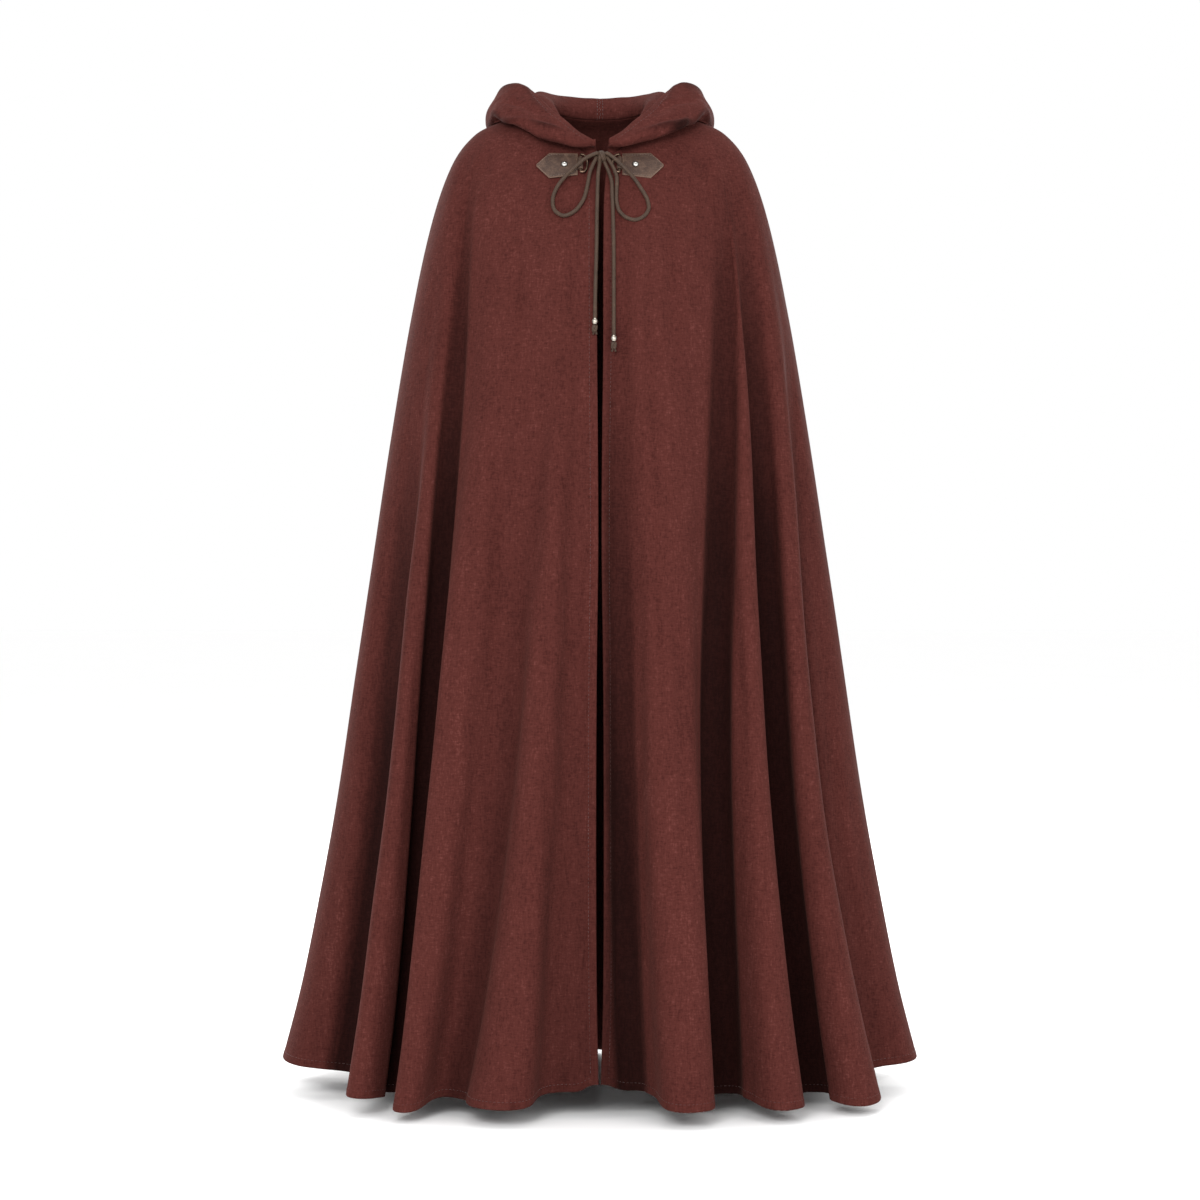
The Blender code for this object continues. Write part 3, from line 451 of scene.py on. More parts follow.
# Creases round the back: depth, half width, and the places as bearing from the front and height
BACK_CREASES = (
    (0.0040, 0.014, ((118, -0.040), (121, -0.120), (124, -0.230), (127, -0.380))),
    (0.0034, 0.012, ((143, -0.150), (145, -0.240), (144, -0.380))),
    (0.0030, 0.014, ((168, -0.230), (167, -0.360), (170, -0.560))),
    (0.0032, 0.013, ((193, -0.210), (195, -0.330), (192, -0.520))),
    (0.0040, 0.013, ((218, -0.120), (220, -0.220), (223, -0.370))),
    (0.0036, 0.014, ((241, -0.030), (239, -0.110), (236, -0.260), (235, -0.420))),
    (-0.0030, 0.013, ((131, -0.300), (133, -0.520), (134, -0.780))),
    (0.0028, 0.012, ((141, -0.640), (143, -0.860), (142, -1.120))),
    (-0.0028, 0.012, ((156, -0.520), (157, -0.760), (158, -1.000))),
    (0.0030, 0.013, ((164, -0.820), (165, -1.020), (164, -1.260))),
    (0.0026, 0.011, ((181, -0.460), (183, -0.660), (182, -0.880))),
    (-0.0030, 0.014, ((188, -0.700), (189, -0.940), (188, -1.200))),
    (0.0030, 0.012, ((203, -0.560), (205, -0.800), (206, -1.060))),
    (0.0026, 0.012, ((211, -0.900), (212, -1.100), (211, -1.300))),
    (-0.0026, 0.013, ((228, -0.460), (229, -0.700), (230, -0.960))),
    (0.0032, 0.012, ((248, -0.360), (250, -0.600), (249, -0.880))),
    (0.0030, 0.012, ((97, -0.420), (99, -0.680), (100, -0.980))),
    (0.0028, 0.011, ((110, -0.700), (111, -0.960), (110, -1.220))),
    (0.0028, 0.012, ((259, -0.620), (261, -0.880), (262, -1.160))),
)

# Creases on the hood: side, depth, half width, and the places as bearing and station, which counts the hood's
# named places: neck seam (0), lip, root, crest (3), lay, turn (5), outer, peak (7), face edge (8)
HOOD_CREASES = (
    (-1, 0.0046, 0.0066, ((106, 6.0), (88, 5.85), (72, 5.85), (63, 6.1), (52, 6.45))),
    (-1, 0.0034, 0.0055, ((54, 6.42), (45, 6.5), (38, 6.56), (26, 6.7))),
    (-1, -0.0034, 0.0080, ((88, 6.35), (75, 6.5), (64, 6.75), (46, 7.0))),
    (-1, 0.0030, 0.0048, ((52, 5.45), (45, 5.43), (33, 5.43), (15, 5.64))),
    (-1, 0.0024, 0.0070, ((92, 7.3), (76, 7.4), (60, 7.4), (44, 7.4))),
    (-1, 0.0052, 0.0140, ((136, 6.6), (118, 6.65), (96, 6.7), (76, 6.8))),
    (1, 0.0044, 0.0064, ((106, 6.0), (90, 5.85), (67, 6.0), (55, 6.17), (47, 6.33), (38, 6.44), (26, 6.5))),
    (1, 0.0044, 0.0042, ((62, 6.2), (56, 6.08), (50, 5.88), (41, 5.4))),
    (1, -0.0034, 0.0080, ((90, 6.35), (75, 6.55), (62, 6.95), (44, 7.1))),
    (1, 0.0022, 0.0070, ((88, 7.3), (72, 7.4), (54, 7.4))),
    (1, 0.0055, 0.0140, ((134, 6.6), (114, 6.65), (94, 6.7), (74, 6.8))),
    (-1, 0.0050, 0.0130, ((132, 7.6), (140, 6.9), (150, 6.3), (160, 5.8))),
    (-1, -0.0034, 0.0130, ((118, 7.4), (128, 6.8), (140, 6.2))),
    (-1, 0.0036, 0.0110, ((156, 7.7), (162, 7.1), (168, 6.5))),
    (1, 0.0046, 0.0120, ((126, 7.5), (136, 7.0), (147, 6.4), (157, 5.9))),
    (1, -0.0034, 0.0130, ((112, 7.2), (122, 6.7), (134, 6.1))),
    (1, 0.0038, 0.0120, ((150, 7.8), (158, 7.2), (166, 6.7))),
)

# Colours as linear values
CLOTH_DARK = (0.0400, 0.0094, 0.0076, 1.0)
CLOTH_MIDDLE = (0.0620, 0.0158, 0.0128, 1.0)
CLOTH_LIGHT = (0.1040, 0.0310, 0.0262, 1.0)
THREAD_DARK = (0.028, 0.0076, 0.0064, 1.0)
THREAD_LIGHT = (0.050, 0.0148, 0.0126, 1.0)
TAB_THREAD_DARK = (0.090, 0.060, 0.045, 1.0)
TAB_THREAD_LIGHT = (0.165, 0.116, 0.088, 1.0)
LEATHER_DARK = (0.017, 0.0090, 0.0062, 1.0)
LEATHER_MIDDLE = (0.040, 0.0212, 0.0148, 1.0)
LEATHER_WORN = (0.112, 0.067, 0.046, 1.0)
LACE_DARK = (0.0195, 0.0112, 0.0070, 1.0)
LACE_MIDDLE = (0.0470, 0.0270, 0.0168, 1.0)
LACE_WORN = (0.120, 0.0730, 0.0480, 1.0)
STEEL = (0.60, 0.585, 0.55, 1.0)
BEAD_STEEL = (0.50, 0.455, 0.385, 1.0)
BRONZE = (0.205, 0.135, 0.095, 1.0)
# A plain dark metal tint for the ring round each rivet head.
DARK_RIM_COLOUR = (0.050, 0.044, 0.040, 1.0)
FLOOR_COLOUR = (1.0, 1.0, 0.999, 1.0)
BACKDROP_COLOUR = (1.0, 1.0, 1.0, 1.0)

# The photograph: the camera level with the middle of the cloak, four metres in front of it
CAMERA_DISTANCE = 4.0
CAMERA_HEIGHT = -0.68
LENS = 82.8
SENSOR = 36.0

# Distance between the points of a lace's line
LACE_STEP = 0.0024

# The studio: its lights as name, place, size and watts, the point they face, and the floor
WORLD_STRENGTH = 1.0
LIGHTS = (
    ("key", (-0.9, -4.4, 1.0), (1.8, 1.8), 150.0),
    ("fill", (2.6, -3.2, 0.2), (2.0, 2.6), 45.0),
    ("rear_left", (-2.6, 3.4, 0.8), (1.8, 2.2), 110.0),
    ("rear_right", (2.2, 3.8, 0.8), (1.8, 2.2), 110.0),
    ("top", (0.0, 0.0, 2.8), (2.0, 2.0), 30.0),
)
LIGHT_TARGET = (0.0, 0.0, -0.7)
FLOOR_GAP = 0.004
FLOOR_REACH = 60.0
FLOOR_DIM = 0.995


def smooth(keys, values, at):
    """Smooth curve through values that are given at rising keys."""
    keys = np.asarray(keys, dtype=float)
    values = np.asarray(values, dtype=float)
    at = np.clip(np.asarray(at, dtype=float), keys[0], keys[-1])
    slopes = np.gradient(values, keys)
    start = np.clip(np.searchsorted(keys, at, side="right") - 1, 0, len(keys) - 2)
    width = keys[start + 1] - keys[start]
    t = (at - keys[start]) / width
    rise = values[start] * (2 * t**3 - 3 * t**2 + 1) + values[start + 1] * (3 * t**2 - 2 * t**3)
    lean = slopes[start] * (t**3 - 2 * t**2 + t) + slopes[start + 1] * (t**3 - t**2)
    return rise + lean * width


def path_keys(points):
    """Distance along the straight lines through points, at each of them."""
    return np.concatenate(([0.0], np.cumsum(np.linalg.norm(np.diff(points, axis=0), axis=1))))


def stepped_path(points, steps):
    """Points on a smooth curve through the given ones, with so many steps from each one to the next."""
    points = np.asarray(points, dtype=float)
    keys = path_keys(points)
    at = [keys[0]]
    for start, end, count in zip(keys, keys[1:], steps):
        at.extend(np.linspace(start, end, count + 1)[1:])
    return np.stack([smooth(keys, axis, at) for axis in points.T], axis=1)


def even_path(points, count):
    """Evenly spaced points on a smooth curve through the given ones."""
    curve = stepped_path(points, [CURVE_STEPS] * (len(points) - 1))
    along = path_keys(curve)
    even = np.linspace(0.0, along[-1], count)
    return np.stack([np.interp(even, along, axis) for axis in curve.T], axis=1)


def section(column, level):
    """A column of the section table at any level."""
    place = SECTION_COLUMNS.index(column)
    return smooth(range(len(SECTIONS)), [row[place] for row in SECTIONS], level)


FINE_LEVELS = np.linspace(0.0, HEM_LEVEL, round(HEM_LEVEL / FINE_STEP) + 1)
FINE_SECTIONS = [section(column, FINE_LEVELS) for column in SECTION_COLUMNS]


def ring(level, turn):
    """Point on the plain cloak and the level way out of it, at a turn from the front through +X."""
    width = section("half_width", level)
    in_front = np.cos(turn) > 0
    depth = np.where(in_front, section("front", level), section("back", level))
    end_height = np.where(in_front, section("z_front", level), section("z_back", level))
    share = np.cos(turn) ** 2
    height = section("z_side", level) * (1 - share) + end_height * share
    point = np.stack([width * np.sin(turn), -depth * np.cos(turn), height], axis=-1)
    out = np.stack([np.sin(turn) / width, -np.cos(turn) / depth, 0 * turn], axis=-1)
    return point, out / np.linalg.norm(out, axis=-1, keepdims=True)


def fold_lines(level):
    """Turn, swell, drop and wall steepness of each fold line at a level."""
    rows = np.array(list(FOLDS.values()))
    turns = np.radians([smooth(FOLD_LEVELS, row[:4], level) for row in rows])
    width = section("half_width", level)
    turns[0] = math.asin(section("right_edge", level) / width)
    turns[-1] = math.tau + math.asin(section("left_edge", level) / width)
    turns[1] = max(turns[1], turns[0] + EDGE_STRIP)
    turns[-2] = min(turns[-2], turns[-1] - EDGE_STRIP)
    swell, start, drop, wall = rows[:, 4:].T
    height = ring(level, turns)[0][:, 2]
    hem_height = ring(HEM_LEVEL, turns)[0][:, 2]
    grown = np.clip((start - height) / (start - hem_height), 0.0, 1.0) ** FOLD_GROWTH
    return turns, swell * grown, drop * grown, wall * grown


def grid_normals(points):
    """Unit normals of a grid, to the side that is outward when rows go down and columns go right."""
    normals = np.cross(np.gradient(points, axis=0), np.gradient(points, axis=1))
    return normals / np.linalg.norm(normals, axis=-1, keepdims=True)


def fine_section(column):
    """A column of the section table at every fine level."""
    return FINE_SECTIONS[SECTION_COLUMNS.index(column)]


def meridian(bearing):
    """Radius and height of the plain cloak at a bearing, at every fine level."""
    in_front = math.cos(bearing) > 0
    width = fine_section("half_width")
    depth = fine_section("front" if in_front else "back")
    turn = np.arctan2(math.sin(bearing) / width, math.cos(bearing) / depth)
    share = np.cos(turn) ** 2
    height = fine_section("z_side") * (1 - share) + fine_section("z_front" if in_front else "z_back") * share
    return np.hypot(width * np.sin(turn), depth * np.cos(turn)), height


def neck_seam(radius, height):
    """The neck seam at a bearing, and the way the cloak's cloth runs up to it, both as out and up."""
    next_level = round(1 / FINE_STEP)
    here = np.array([radius[0], height[0]])
    run = here - np.array([radius[next_level], height[next_level]])
    return here, run / np.linalg.norm(run)


def rest_on_cloak(profile, radius, height):
    """Move the places below the neck seam out, so that they lie clear of the cloak."""
    ahead = round(SLOPE_LEVEL / FINE_STEP)
    fall = height[:-ahead] - height[ahead:]
    slope = fall / np.hypot(fall, radius[ahead:] - radius[:-ahead])
    for place in profile:
        if place[1] < height[0]:
            reach = np.interp(-place[1], -height, radius)
            steepness = np.interp(-place[1], -height[:-ahead], slope)
            place[0] = max(place[0], reach + HOOD_REST / max(steepness, HOOD_FLATTEST))


def hood_profile(bearing, steps):
    """Points of the hood's cloth from neck seam to face edge, as out and up, kept clear of the cloak."""
    rows = np.array(HOOD + HOOD[-2:-1])
    rows[-1, 0] = 360 - rows[-1, 0]
    columns = [smooth(rows[:, 0], column, math.degrees(bearing)) for column in rows[:, 1:].T]
    pairs = np.array(columns).reshape(-1, 2)
    radius, height = meridian(bearing)
    seam, run = neck_seam(radius, height)
    root = seam + run * HOOD_ROOT + np.array([0.0, HOOD_ROOT])
    profile = stepped_path([seam + run * SEAM_GAP, seam + run * HOOD_LIP, root, *pairs], steps)
    rest_on_cloak(profile[steps[0] + steps[1] + 1 :], radius, height)
    return profile


def hood_half(start, side, stations, steps):
    """Grid of one half of the hood, from its front end at the start bearing to the centre seam."""
    bearings = np.linspace(start, math.pi, stations)
    columns = []
    for bearing in bearings:
        profile = hood_profile(bearing, steps)
        x = side * profile[:, 0] * math.sin(bearing)
        y = -profile[:, 0] * math.cos(bearing)
        columns.append(np.stack([x, y, profile[:, 1]], axis=1))
    return np.stack(columns, axis=1)


def front_depth(x, z):
    """How deep the plain front lies (its y) at a distance from the middle and a height."""
    turn = np.arcsin(np.minimum(1.0, abs(x) / fine_section("half_width")))
    share = np.cos(turn) ** 2
    height = fine_section("z_side") * (1 - share) + fine_section("z_front") * share
    return float(np.interp(-z, -height, -fine_section("front") * np.cos(turn)))


def on_front(x, z, lift):
    """The point of the front cloth's middle at x and z, moved straight out by lift, and the way out."""
    slope_x = (front_depth(x + SLOPE_STEP, z) - front_depth(x - SLOPE_STEP, z)) / (2 * SLOPE_STEP)
    slope_z = (front_depth(x, z + SLOPE_STEP) - front_depth(x, z - SLOPE_STEP)) / (2 * SLOPE_STEP)
    out = Vector((slope_x, -1.0, slope_z)).normalized()
    return Vector((x, front_depth(x, z), z)) + out * lift, out


# Nodes of a material


def new_material(name):
    """An empty node material: its tree, its Principled shader, and its surface position in metres."""
    material = bpy.data.materials.new(name)
    material.use_nodes = True
    nodes = material.node_tree.nodes
    shader = nodes["Principled BSDF"]
    place = nodes.new("ShaderNodeTexCoord").outputs["Object"]
    return material, shader, place


def link(material, source, target):
    """A link between two sockets."""
    material.node_tree.links.new(source, target)


def scaled(material, place, scale):
    """The position stretched by a scale for each axis."""
    mapping = material.node_tree.nodes.new("ShaderNodeMapping")
    mapping.inputs["Scale"].default_value = scale
    link(material, place, mapping.inputs["Vector"])
    return mapping.outputs["Vector"]


def noise(material, place, scale, detail=3.0, roughness=0.55, distortion=0.0):
    """Noise with so many waves a metre."""
    node = material.node_tree.nodes.new("ShaderNodeTexNoise")
    node.inputs["Scale"].default_value = scale
    node.inputs["Detail"].default_value = detail
    node.inputs["Roughness"].default_value = roughness
    node.inputs["Distortion"].default_value = distortion
    link(material, place, node.inputs["Vector"])
    return node.outputs["Fac"]


def cells(material, place, scale, feature="F1"):
    """Distance to cell centres or edges, with so many cells a metre."""
    node = material.node_tree.nodes.new("ShaderNodeTexVoronoi")
    node.feature = feature
    node.inputs["Scale"].default_value = scale
    link(material, place, node.inputs["Vector"])
    return node.outputs["Distance"]


def ramp(material, value, *stops):
    """A smooth run of colours or greys over a value."""
    node = material.node_tree.nodes.new("ShaderNodeValToRGB")
    node.color_ramp.interpolation = "EASE"
    elements = node.color_ramp.elements
    while len(elements) < len(stops):
        elements.new(0.5)
    for element, (position, colour) in zip(elements, stops):
        element.position = position
        element.color = colour if isinstance(colour, tuple) else (colour, colour, colour, 1.0)
    link(material, value, node.inputs["Fac"])
    return node.outputs["Color"]


def multiplied(material, first, second):
    """Two colours multiplied."""
    node = material.node_tree.nodes.new("ShaderNodeMix")
    node.data_type = "RGBA"
    node.blend_type = "MULTIPLY"
    node.inputs[0].default_value = 1.0
    link(material, first, node.inputs[6])
    link(material, second, node.inputs[7])
    return node.outputs[2]


def summed(material, parts):
    """Weighted sum of values."""
    total = None
    for value, weight in parts:
        node = material.node_tree.nodes.new("ShaderNodeMath")
        node.operation = "MULTIPLY_ADD"
        link(material, value, node.inputs[0])
        node.inputs[1].default_value = weight
        if total is None:
            node.inputs[2].default_value = 0.0
        else:
            link(material, total, node.inputs[2])
        total = node.outputs[0]
    return total


def bumped(material, shader, height, distance):
    """A bump from a height, whose whole range is so many metres."""
    node = material.node_tree.nodes.new("ShaderNodeBump")
    node.inputs["Strength"].default_value = 1.0
    node.inputs["Distance"].default_value = distance
    link(material, height, node.inputs["Height"])
    link(material, node.outputs["Normal"], shader.inputs["Normal"])


def attribute(material, name):
    """A value stored on the mesh."""
    node = material.node_tree.nodes.new("ShaderNodeAttribute")
    node.attribute_name = name
    return node.outputs["Fac"]


# Materials


def cloth_material():
    """Brushed, peached cloth: a short matt nap over a fine weave and slubs, rubbed and given a painted
    highlight on its ridges, with painted shade in its valleys, creases and crevices.
    """
    material, shader, place = new_material("brushed_cloth")
    upright = scaled(material, place, (1.0, 1.0, 0.22))
    level = scaled(material, place, (0.25, 0.25, 1.0))
    patches = noise(material, place, 7.0, 4.0, 0.6, 0.4)
    streaks = noise(material, upright, 60.0, 4.0, 0.6)
    slubs = noise(material, upright, 420.0, 3.0, 0.6)
    weft = noise(material, level, 520.0, 3.0, 0.6)
    nap = noise(material, place, 1500.0, 2.0, 0.7)
    fibre = noise(material, place, 260.0, 4.0, 0.7, 0.6)
    # Wear and painted shade from the mesh: raised cloth rubbed lighter, creases and crevices given painted
    # shade.
    wear_and_shade = attribute(material, "wear_and_shade")
    parts = [(patches, 0.07), (streaks, 0.17), (slubs, 0.28), (weft, 0.28), (fibre, 0.20), (wear_and_shade, 0.10)]
    tone = summed(material, parts)
    ground = ramp(material, tone, (0.44, CLOTH_DARK), (0.56, CLOTH_MIDDLE), (0.70, CLOTH_LIGHT))
    # Painted shade and highlight: the fold value darkens valleys and crevices to a quarter and lightens
    # ridges.
    depth = ramp(material, attribute(material, "fold"), (0.0, 0.24), (0.16, 0.50), (0.42, 0.96), (1.0, 1.14))
    colour = multiplied(material, ground, depth)
    speckle = ramp(material, nap, (0.30, 0.84), (0.60, 1.0), (0.80, 1.16))
    link(material, multiplied(material, colour, speckle), shader.inputs["Base Color"])
    link(material, ramp(material, streaks, (0.2, 0.84), (0.8, 0.97)), shader.inputs["Roughness"])
    relief = summed(material, [(slubs, 0.34), (weft, 0.30), (nap, 0.22), (fibre, 0.40), (streaks, 0.30)])
    bumped(material, shader, relief, 0.0011)
    shader.inputs["Specular IOR Level"].default_value = 0.05
    shader.inputs["Sheen Weight"].default_value = 0.035
    shader.inputs["Sheen Roughness"].default_value = 0.50
    shader.inputs["Sheen Tint"].default_value = (0.80, 0.34, 0.28, 1.0)
    return material


def thread_material(name, dark, light):
    """Twisted sewing thread."""
    material, shader, place = new_material(name)
    twist = noise(material, place, 2600.0, 2.0)
    wear_and_shade = noise(material, place, 40.0, 3.0)
    shade = ramp(material, twist, (0.3, 0.75), (0.7, 1.15))
    tone = ramp(material, wear_and_shade, (0.3, dark), (0.7, light))
    link(material, multiplied(material, tone, shade), shader.inputs["Base Color"])
    bumped(material, shader, twist, 0.0002)
    shader.inputs["Roughness"].default_value = 0.7
    shader.inputs["Sheen Weight"].default_value = 0.2
    return material


def hide_material(name, dark, middle, worn_colour, grain_size, gloss):
    """Leather with pebbled grain, rubbed lighter in places and along its edges."""
    material, shader, place = new_material(name)
    pebbles = cells(material, place, grain_size)
    folds = cells(material, place, grain_size * 0.37, "DISTANCE_TO_EDGE")
    clouds = noise(material, place, 70.0, 4.0, 0.6, 0.5)
    pull = noise(material, scaled(material, place, (1.0, 1.0, 3.0)), 190.0, 4.0, 0.65)
    scuffs = noise(material, place, 900.0, 4.0, 0.7)
    wear_and_shade = attribute(material, "wear_and_shade")
    tone = summed(material, [(clouds, 0.42), (pull, 0.30), (scuffs, 0.18), (pebbles, 0.10), (wear_and_shade, 0.36)])
    colour = ramp(material, tone, (0.30, dark), (0.52, middle), (0.80, worn_colour))
    link(material, colour, shader.inputs["Base Color"])
    link(material, ramp(material, clouds, (0.3, gloss), (0.7, gloss + 0.16)), shader.inputs["Roughness"])
    crack = ramp(material, folds, (0.0, 0.0), (0.06, 1.0))
    grain = ramp(material, pebbles, (0.0, 1.0), (0.7, 0.0))
    relief = summed(material, [(grain, 0.35), (crack, 0.30), (scuffs, 0.20), (pull, 0.35)])
    bumped(material, shader, relief, 0.00055)
    shader.inputs["Specular IOR Level"].default_value = 0.24
    return material


def metal_material(name, tint, roughness, tarnish):
    """Cast metal with fine scratches, and dulled where it isn't rubbed."""
    material, shader, place = new_material(name)
    brushed = noise(material, scaled(material, place, (1.0, 1.0, 7.0)), 900.0, 3.0)
    spots = noise(material, place, 260.0, 4.0, 0.65)
    dull = tuple(channel * tarnish for channel in tint[:3]) + (1.0,)
    colour = ramp(material, spots, (0.36, dull), (0.62, tint))
    link(material, colour, shader.inputs["Base Color"])
    dullness = ramp(material, spots, (0.3, roughness + 0.16), (0.7, roughness))
    link(material, dullness, shader.inputs["Roughness"])
    bumped(material, shader, summed(material, [(brushed, 0.6), (spots, 0.4)]), 0.00005)
    shader.inputs["Metallic"].default_value = 1.0
    return material


def studio_material(name, tint):
    """Matt studio surface with the faintest unevenness."""
    material, shader, place = new_material(name)
    clouds = noise(material, place, 1.3, 2.0)
    dim = tuple(channel * FLOOR_DIM for channel in tint[:3]) + (1.0,)
    link(material, ramp(material, clouds, (0.3, dim), (0.7, tint)), shader.inputs["Base Color"])
    shader.inputs["Roughness"].default_value = 0.95
    shader.inputs["Specular IOR Level"].default_value = 0.1
    return material


# Meshes and tubes


def add_mesh(name, vertices, faces, material):
    """A smooth mesh object."""
    mesh = bpy.data.meshes.new(name)
    mesh.from_pydata(np.asarray(vertices).tolist(), [], faces)
    mesh.shade_smooth()
    mesh.materials.append(material)
    thing = bpy.data.objects.new(name, mesh)
    bpy.context.scene.collection.objects.link(thing)
    return thing


def dress(piece, node):
    """Let a piece ride on the cloak and stand for one of its solids."""
    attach(piece, "root")
    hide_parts(node)


def wall_faces(rows, columns):
    """Quads of a closed wall whose outer grid of vertices comes before its inner one."""
    index = np.arange(rows * columns).reshape(rows, columns)
    back = rows * columns
    a, b = index[:-1, :-1].ravel(), index[:-1, 1:].ravel()
    d, c = index[1:, :-1].ravel(), index[1:, 1:].ravel()
    outer = np.stack([a, d, c, b], axis=1)
    inner = np.stack([a, b, c, d], axis=1) + back
    border = np.concatenate([index[:, 0], index[-1, 1:], index[-2::-1, -1], index[0, -2::-1]])
    p, q = border[:-1], border[1:]
    rim = np.stack([q, p, back + p, back + q], axis=1)
    return np.concatenate([outer, inner, rim]).tolist()


def add_wall(name, middle, normals, thickness, material, values=None):
    """A closed wall about a grid of middle points, with a thickness and named values for each point."""
    rows, columns = middle.shape[:2]
    half = (normals * thickness[..., None] / 2).reshape(-1, 3)
    flat = middle.reshape(-1, 3)
    thing = add_mesh(name, np.concatenate([flat + half, flat - half]), wall_faces(rows, columns), material)
    for label, numbers in (values or {}).items():
        layer = thing.data.attributes.new(label, "FLOAT", "POINT")
        layer.data.foreach_set("value", np.tile(numbers.ravel(), 2).astype(np.float32))
    return thing


def add_tube(name, paths, diameter, material, closed=False):
    """One curve object of round tubes along paths."""
    curve = bpy.data.curves.new(name, "CURVE")
    curve.dimensions = "3D"
    curve.bevel_depth = diameter / 2
    curve.bevel_resolution = 5
    curve.use_fill_caps = True
    curve.twist_mode = "MINIMUM"
    for path in paths:
        spline = curve.splines.new("POLY")
        spline.points.add(len(path) - 1)
        for place, point in zip(spline.points, path):
            place.co = (*point, 1.0)
        spline.use_cyclic_u = closed
        spline.use_smooth = True
    curve.materials.append(material)
    thing = bpy.data.objects.new(name, curve)
    bpy.context.scene.collection.objects.link(thing)
    return thing


def turn_to(axis):
    """The rotation that turns +Z to an axis."""
    return Vector((0.0, 0.0, 1.0)).rotation_difference(Vector(axis)).to_matrix()


def lathe(name, profile, centre, axis, sides, material):
    """A turned solid: profile is (radius, height) from its base to its top, about an axis through centre."""
    turn = turn_to(axis)
    rings = profile[1:-1]
    vertices = [Vector((0.0, 0.0, profile[0][1]))]
    for radius, height in rings:
        for step in range(sides):
            angle = math.tau * step / sides
            vertices.append(Vector((radius * math.cos(angle), radius * math.sin(angle), height)))
    vertices.append(Vector((0.0, 0.0, profile[-1][1])))
    faces = []
    for step in range(sides):
        after = (step + 1) % sides
        faces.append((0, 1 + after, 1 + step))
        for level in range(len(rings) - 1):
            low = 1 + level * sides
            faces.append((low + step, low + after, low + sides + after, low + sides + step))
        last = 1 + (len(rings) - 1) * sides
        faces.append((last + step, last + after, len(vertices) - 1))
    return add_mesh(name, [Vector(centre) + turn @ v for v in vertices], faces, material)


def at_distance(line, along, distance):
    """The place on a line of points at a distance, given each point's own."""
    return np.array([np.interp(distance, along, axis) for axis in line.T])


def add_stitches(name, lines, material, length=STITCH_LENGTH, pitch=STITCH_PITCH, radius=THREAD_RADIUS):
    """Rows of short thread stitches: each line is (points, ways out), and the thread lies half sunk in it."""
    vertices = []
    faces = []
    for points, outs in lines:
        along = path_keys(points)
        starts = np.arange(pitch / 2, along[-1] - pitch, pitch)
        for start in starts:
            first = at_distance(points, along, start)
            run = at_distance(points, along, start + length) - first
            out = at_distance(outs, along, start + length / 2)
            out /= np.linalg.norm(out)
            side = np.cross(run, out)
            side *= radius / np.linalg.norm(side)
            lift = out * radius
            base = len(vertices)
            vertices.append(first - lift)
            for share, swell in STITCH_SHAPE:
                middle = first + run * share
                vertices += [middle + lift * swell, middle + side, middle - lift, middle - side]
            vertices.append(first + run - lift)
            for corner in range(4):
                after = (corner + 1) % 4
                faces.append((base, base + 1 + corner, base + 1 + after))
                for band in (1, 5):
                    low = base + band
                    faces.append((low + corner, low + 4 + corner, low + 4 + after, low + after))
                faces.append((base + 9 + corner, base + 13, base + 9 + after))
    return add_mesh(name, vertices, faces, material)


# Creases and edges of cloth


def crease(u, v, scale_u, scale_v, path, half_width):
    """How strongly a crease along a path of (u, v) places shows at each point, up to 1 in its middle."""
    nearest = np.full(u.shape, np.inf)
    share = np.zeros(u.shape)
    pieces = len(path) - 1
    for piece in range(pieces):
        (u0, v0), (u1, v1) = path[piece], path[piece + 1]
        run_u, run_v = (u1 - u0) * scale_u, (v1 - v0) * scale_v
        from_u, from_v = (u - u0) * scale_u, (v - v0) * scale_v
        t = np.clip((from_u * run_u + from_v * run_v) / (run_u**2 + run_v**2), 0.0, 1.0)
        distance = np.hypot(from_u - t * run_u, from_v - t * run_v)
        closer = distance < nearest
        nearest = np.where(closer, distance, nearest)
        share = np.where(closer, (piece + t) / pieces, share)
    spread = np.clip(nearest / half_width, 0.0, 4.0) ** 2
    taper = (4 * share * (1 - share)) ** 0.8
    return (1 - spread) * np.exp(-spread) * taper


def drift(points):
    """Broad soft unevenness of hanging cloth, at each point."""
    x, y, z = np.moveaxis(points, -1, 0)
    bearing = np.arctan2(x, -y)
    total = np.zeros(x.shape)
    for waves, lean, phase in DRIFT_WAVES:
        across = DRIFT_ACROSS * waves * bearing / 2
        along = DRIFT_ALONG * waves * z
        wander = lean * np.sin(along * 1.3 + phase) * 2
        total += np.sin(across + wander + phase) * np.cos(along + phase * 2) / waves
    return total * DRIFT_HEIGHT / 2


def edge_thickness(distance, table):
    """Thickness of cloth at a distance from an edge."""
    at, thick = np.array(table).T
    return np.interp(distance, at, thick)


def seam_thickness(distance):
    """Most thickness that cloth may have at a distance from a seam."""
    return edge_thickness(distance, SEAM_EDGE) + HEM_EXTRA * (distance > SEAM_REACH)


def row_distances(points):
    """Distance of each point from the start of its row."""
    steps = np.linalg.norm(np.diff(points, axis=1), axis=-1)
    return np.concatenate([np.zeros((len(points), 1)), np.cumsum(steps, axis=1)], axis=1)


def column_distances(points):
    """Distance of each point from the start of its column."""
    return row_distances(points.swapaxes(0, 1)).swapaxes(0, 1)


def line_at_distance(points, normals, distances, inset, half):
    """The outer surface along the curve at a given distance: for each row, the place and the way out."""
    places = []
    ways = []
    for row, outs, along in zip(points, normals, distances):
        order = np.argsort(along)
        out = at_distance(outs[order], along[order], inset)
        out /= np.linalg.norm(out)
        places.append(at_distance(row[order], along[order], inset) + out * half)
        ways.append(out)
    return np.array(places), np.array(ways)


def finish_cloth(piece, node, lines, thread):
    """Let a piece of cloth stand for its solid and sew its stitch lines."""
    dress(piece, node)
    stitches = add_stitches(node + "_stitches", lines, thread)
    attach(stitches, "root")


# The cloak


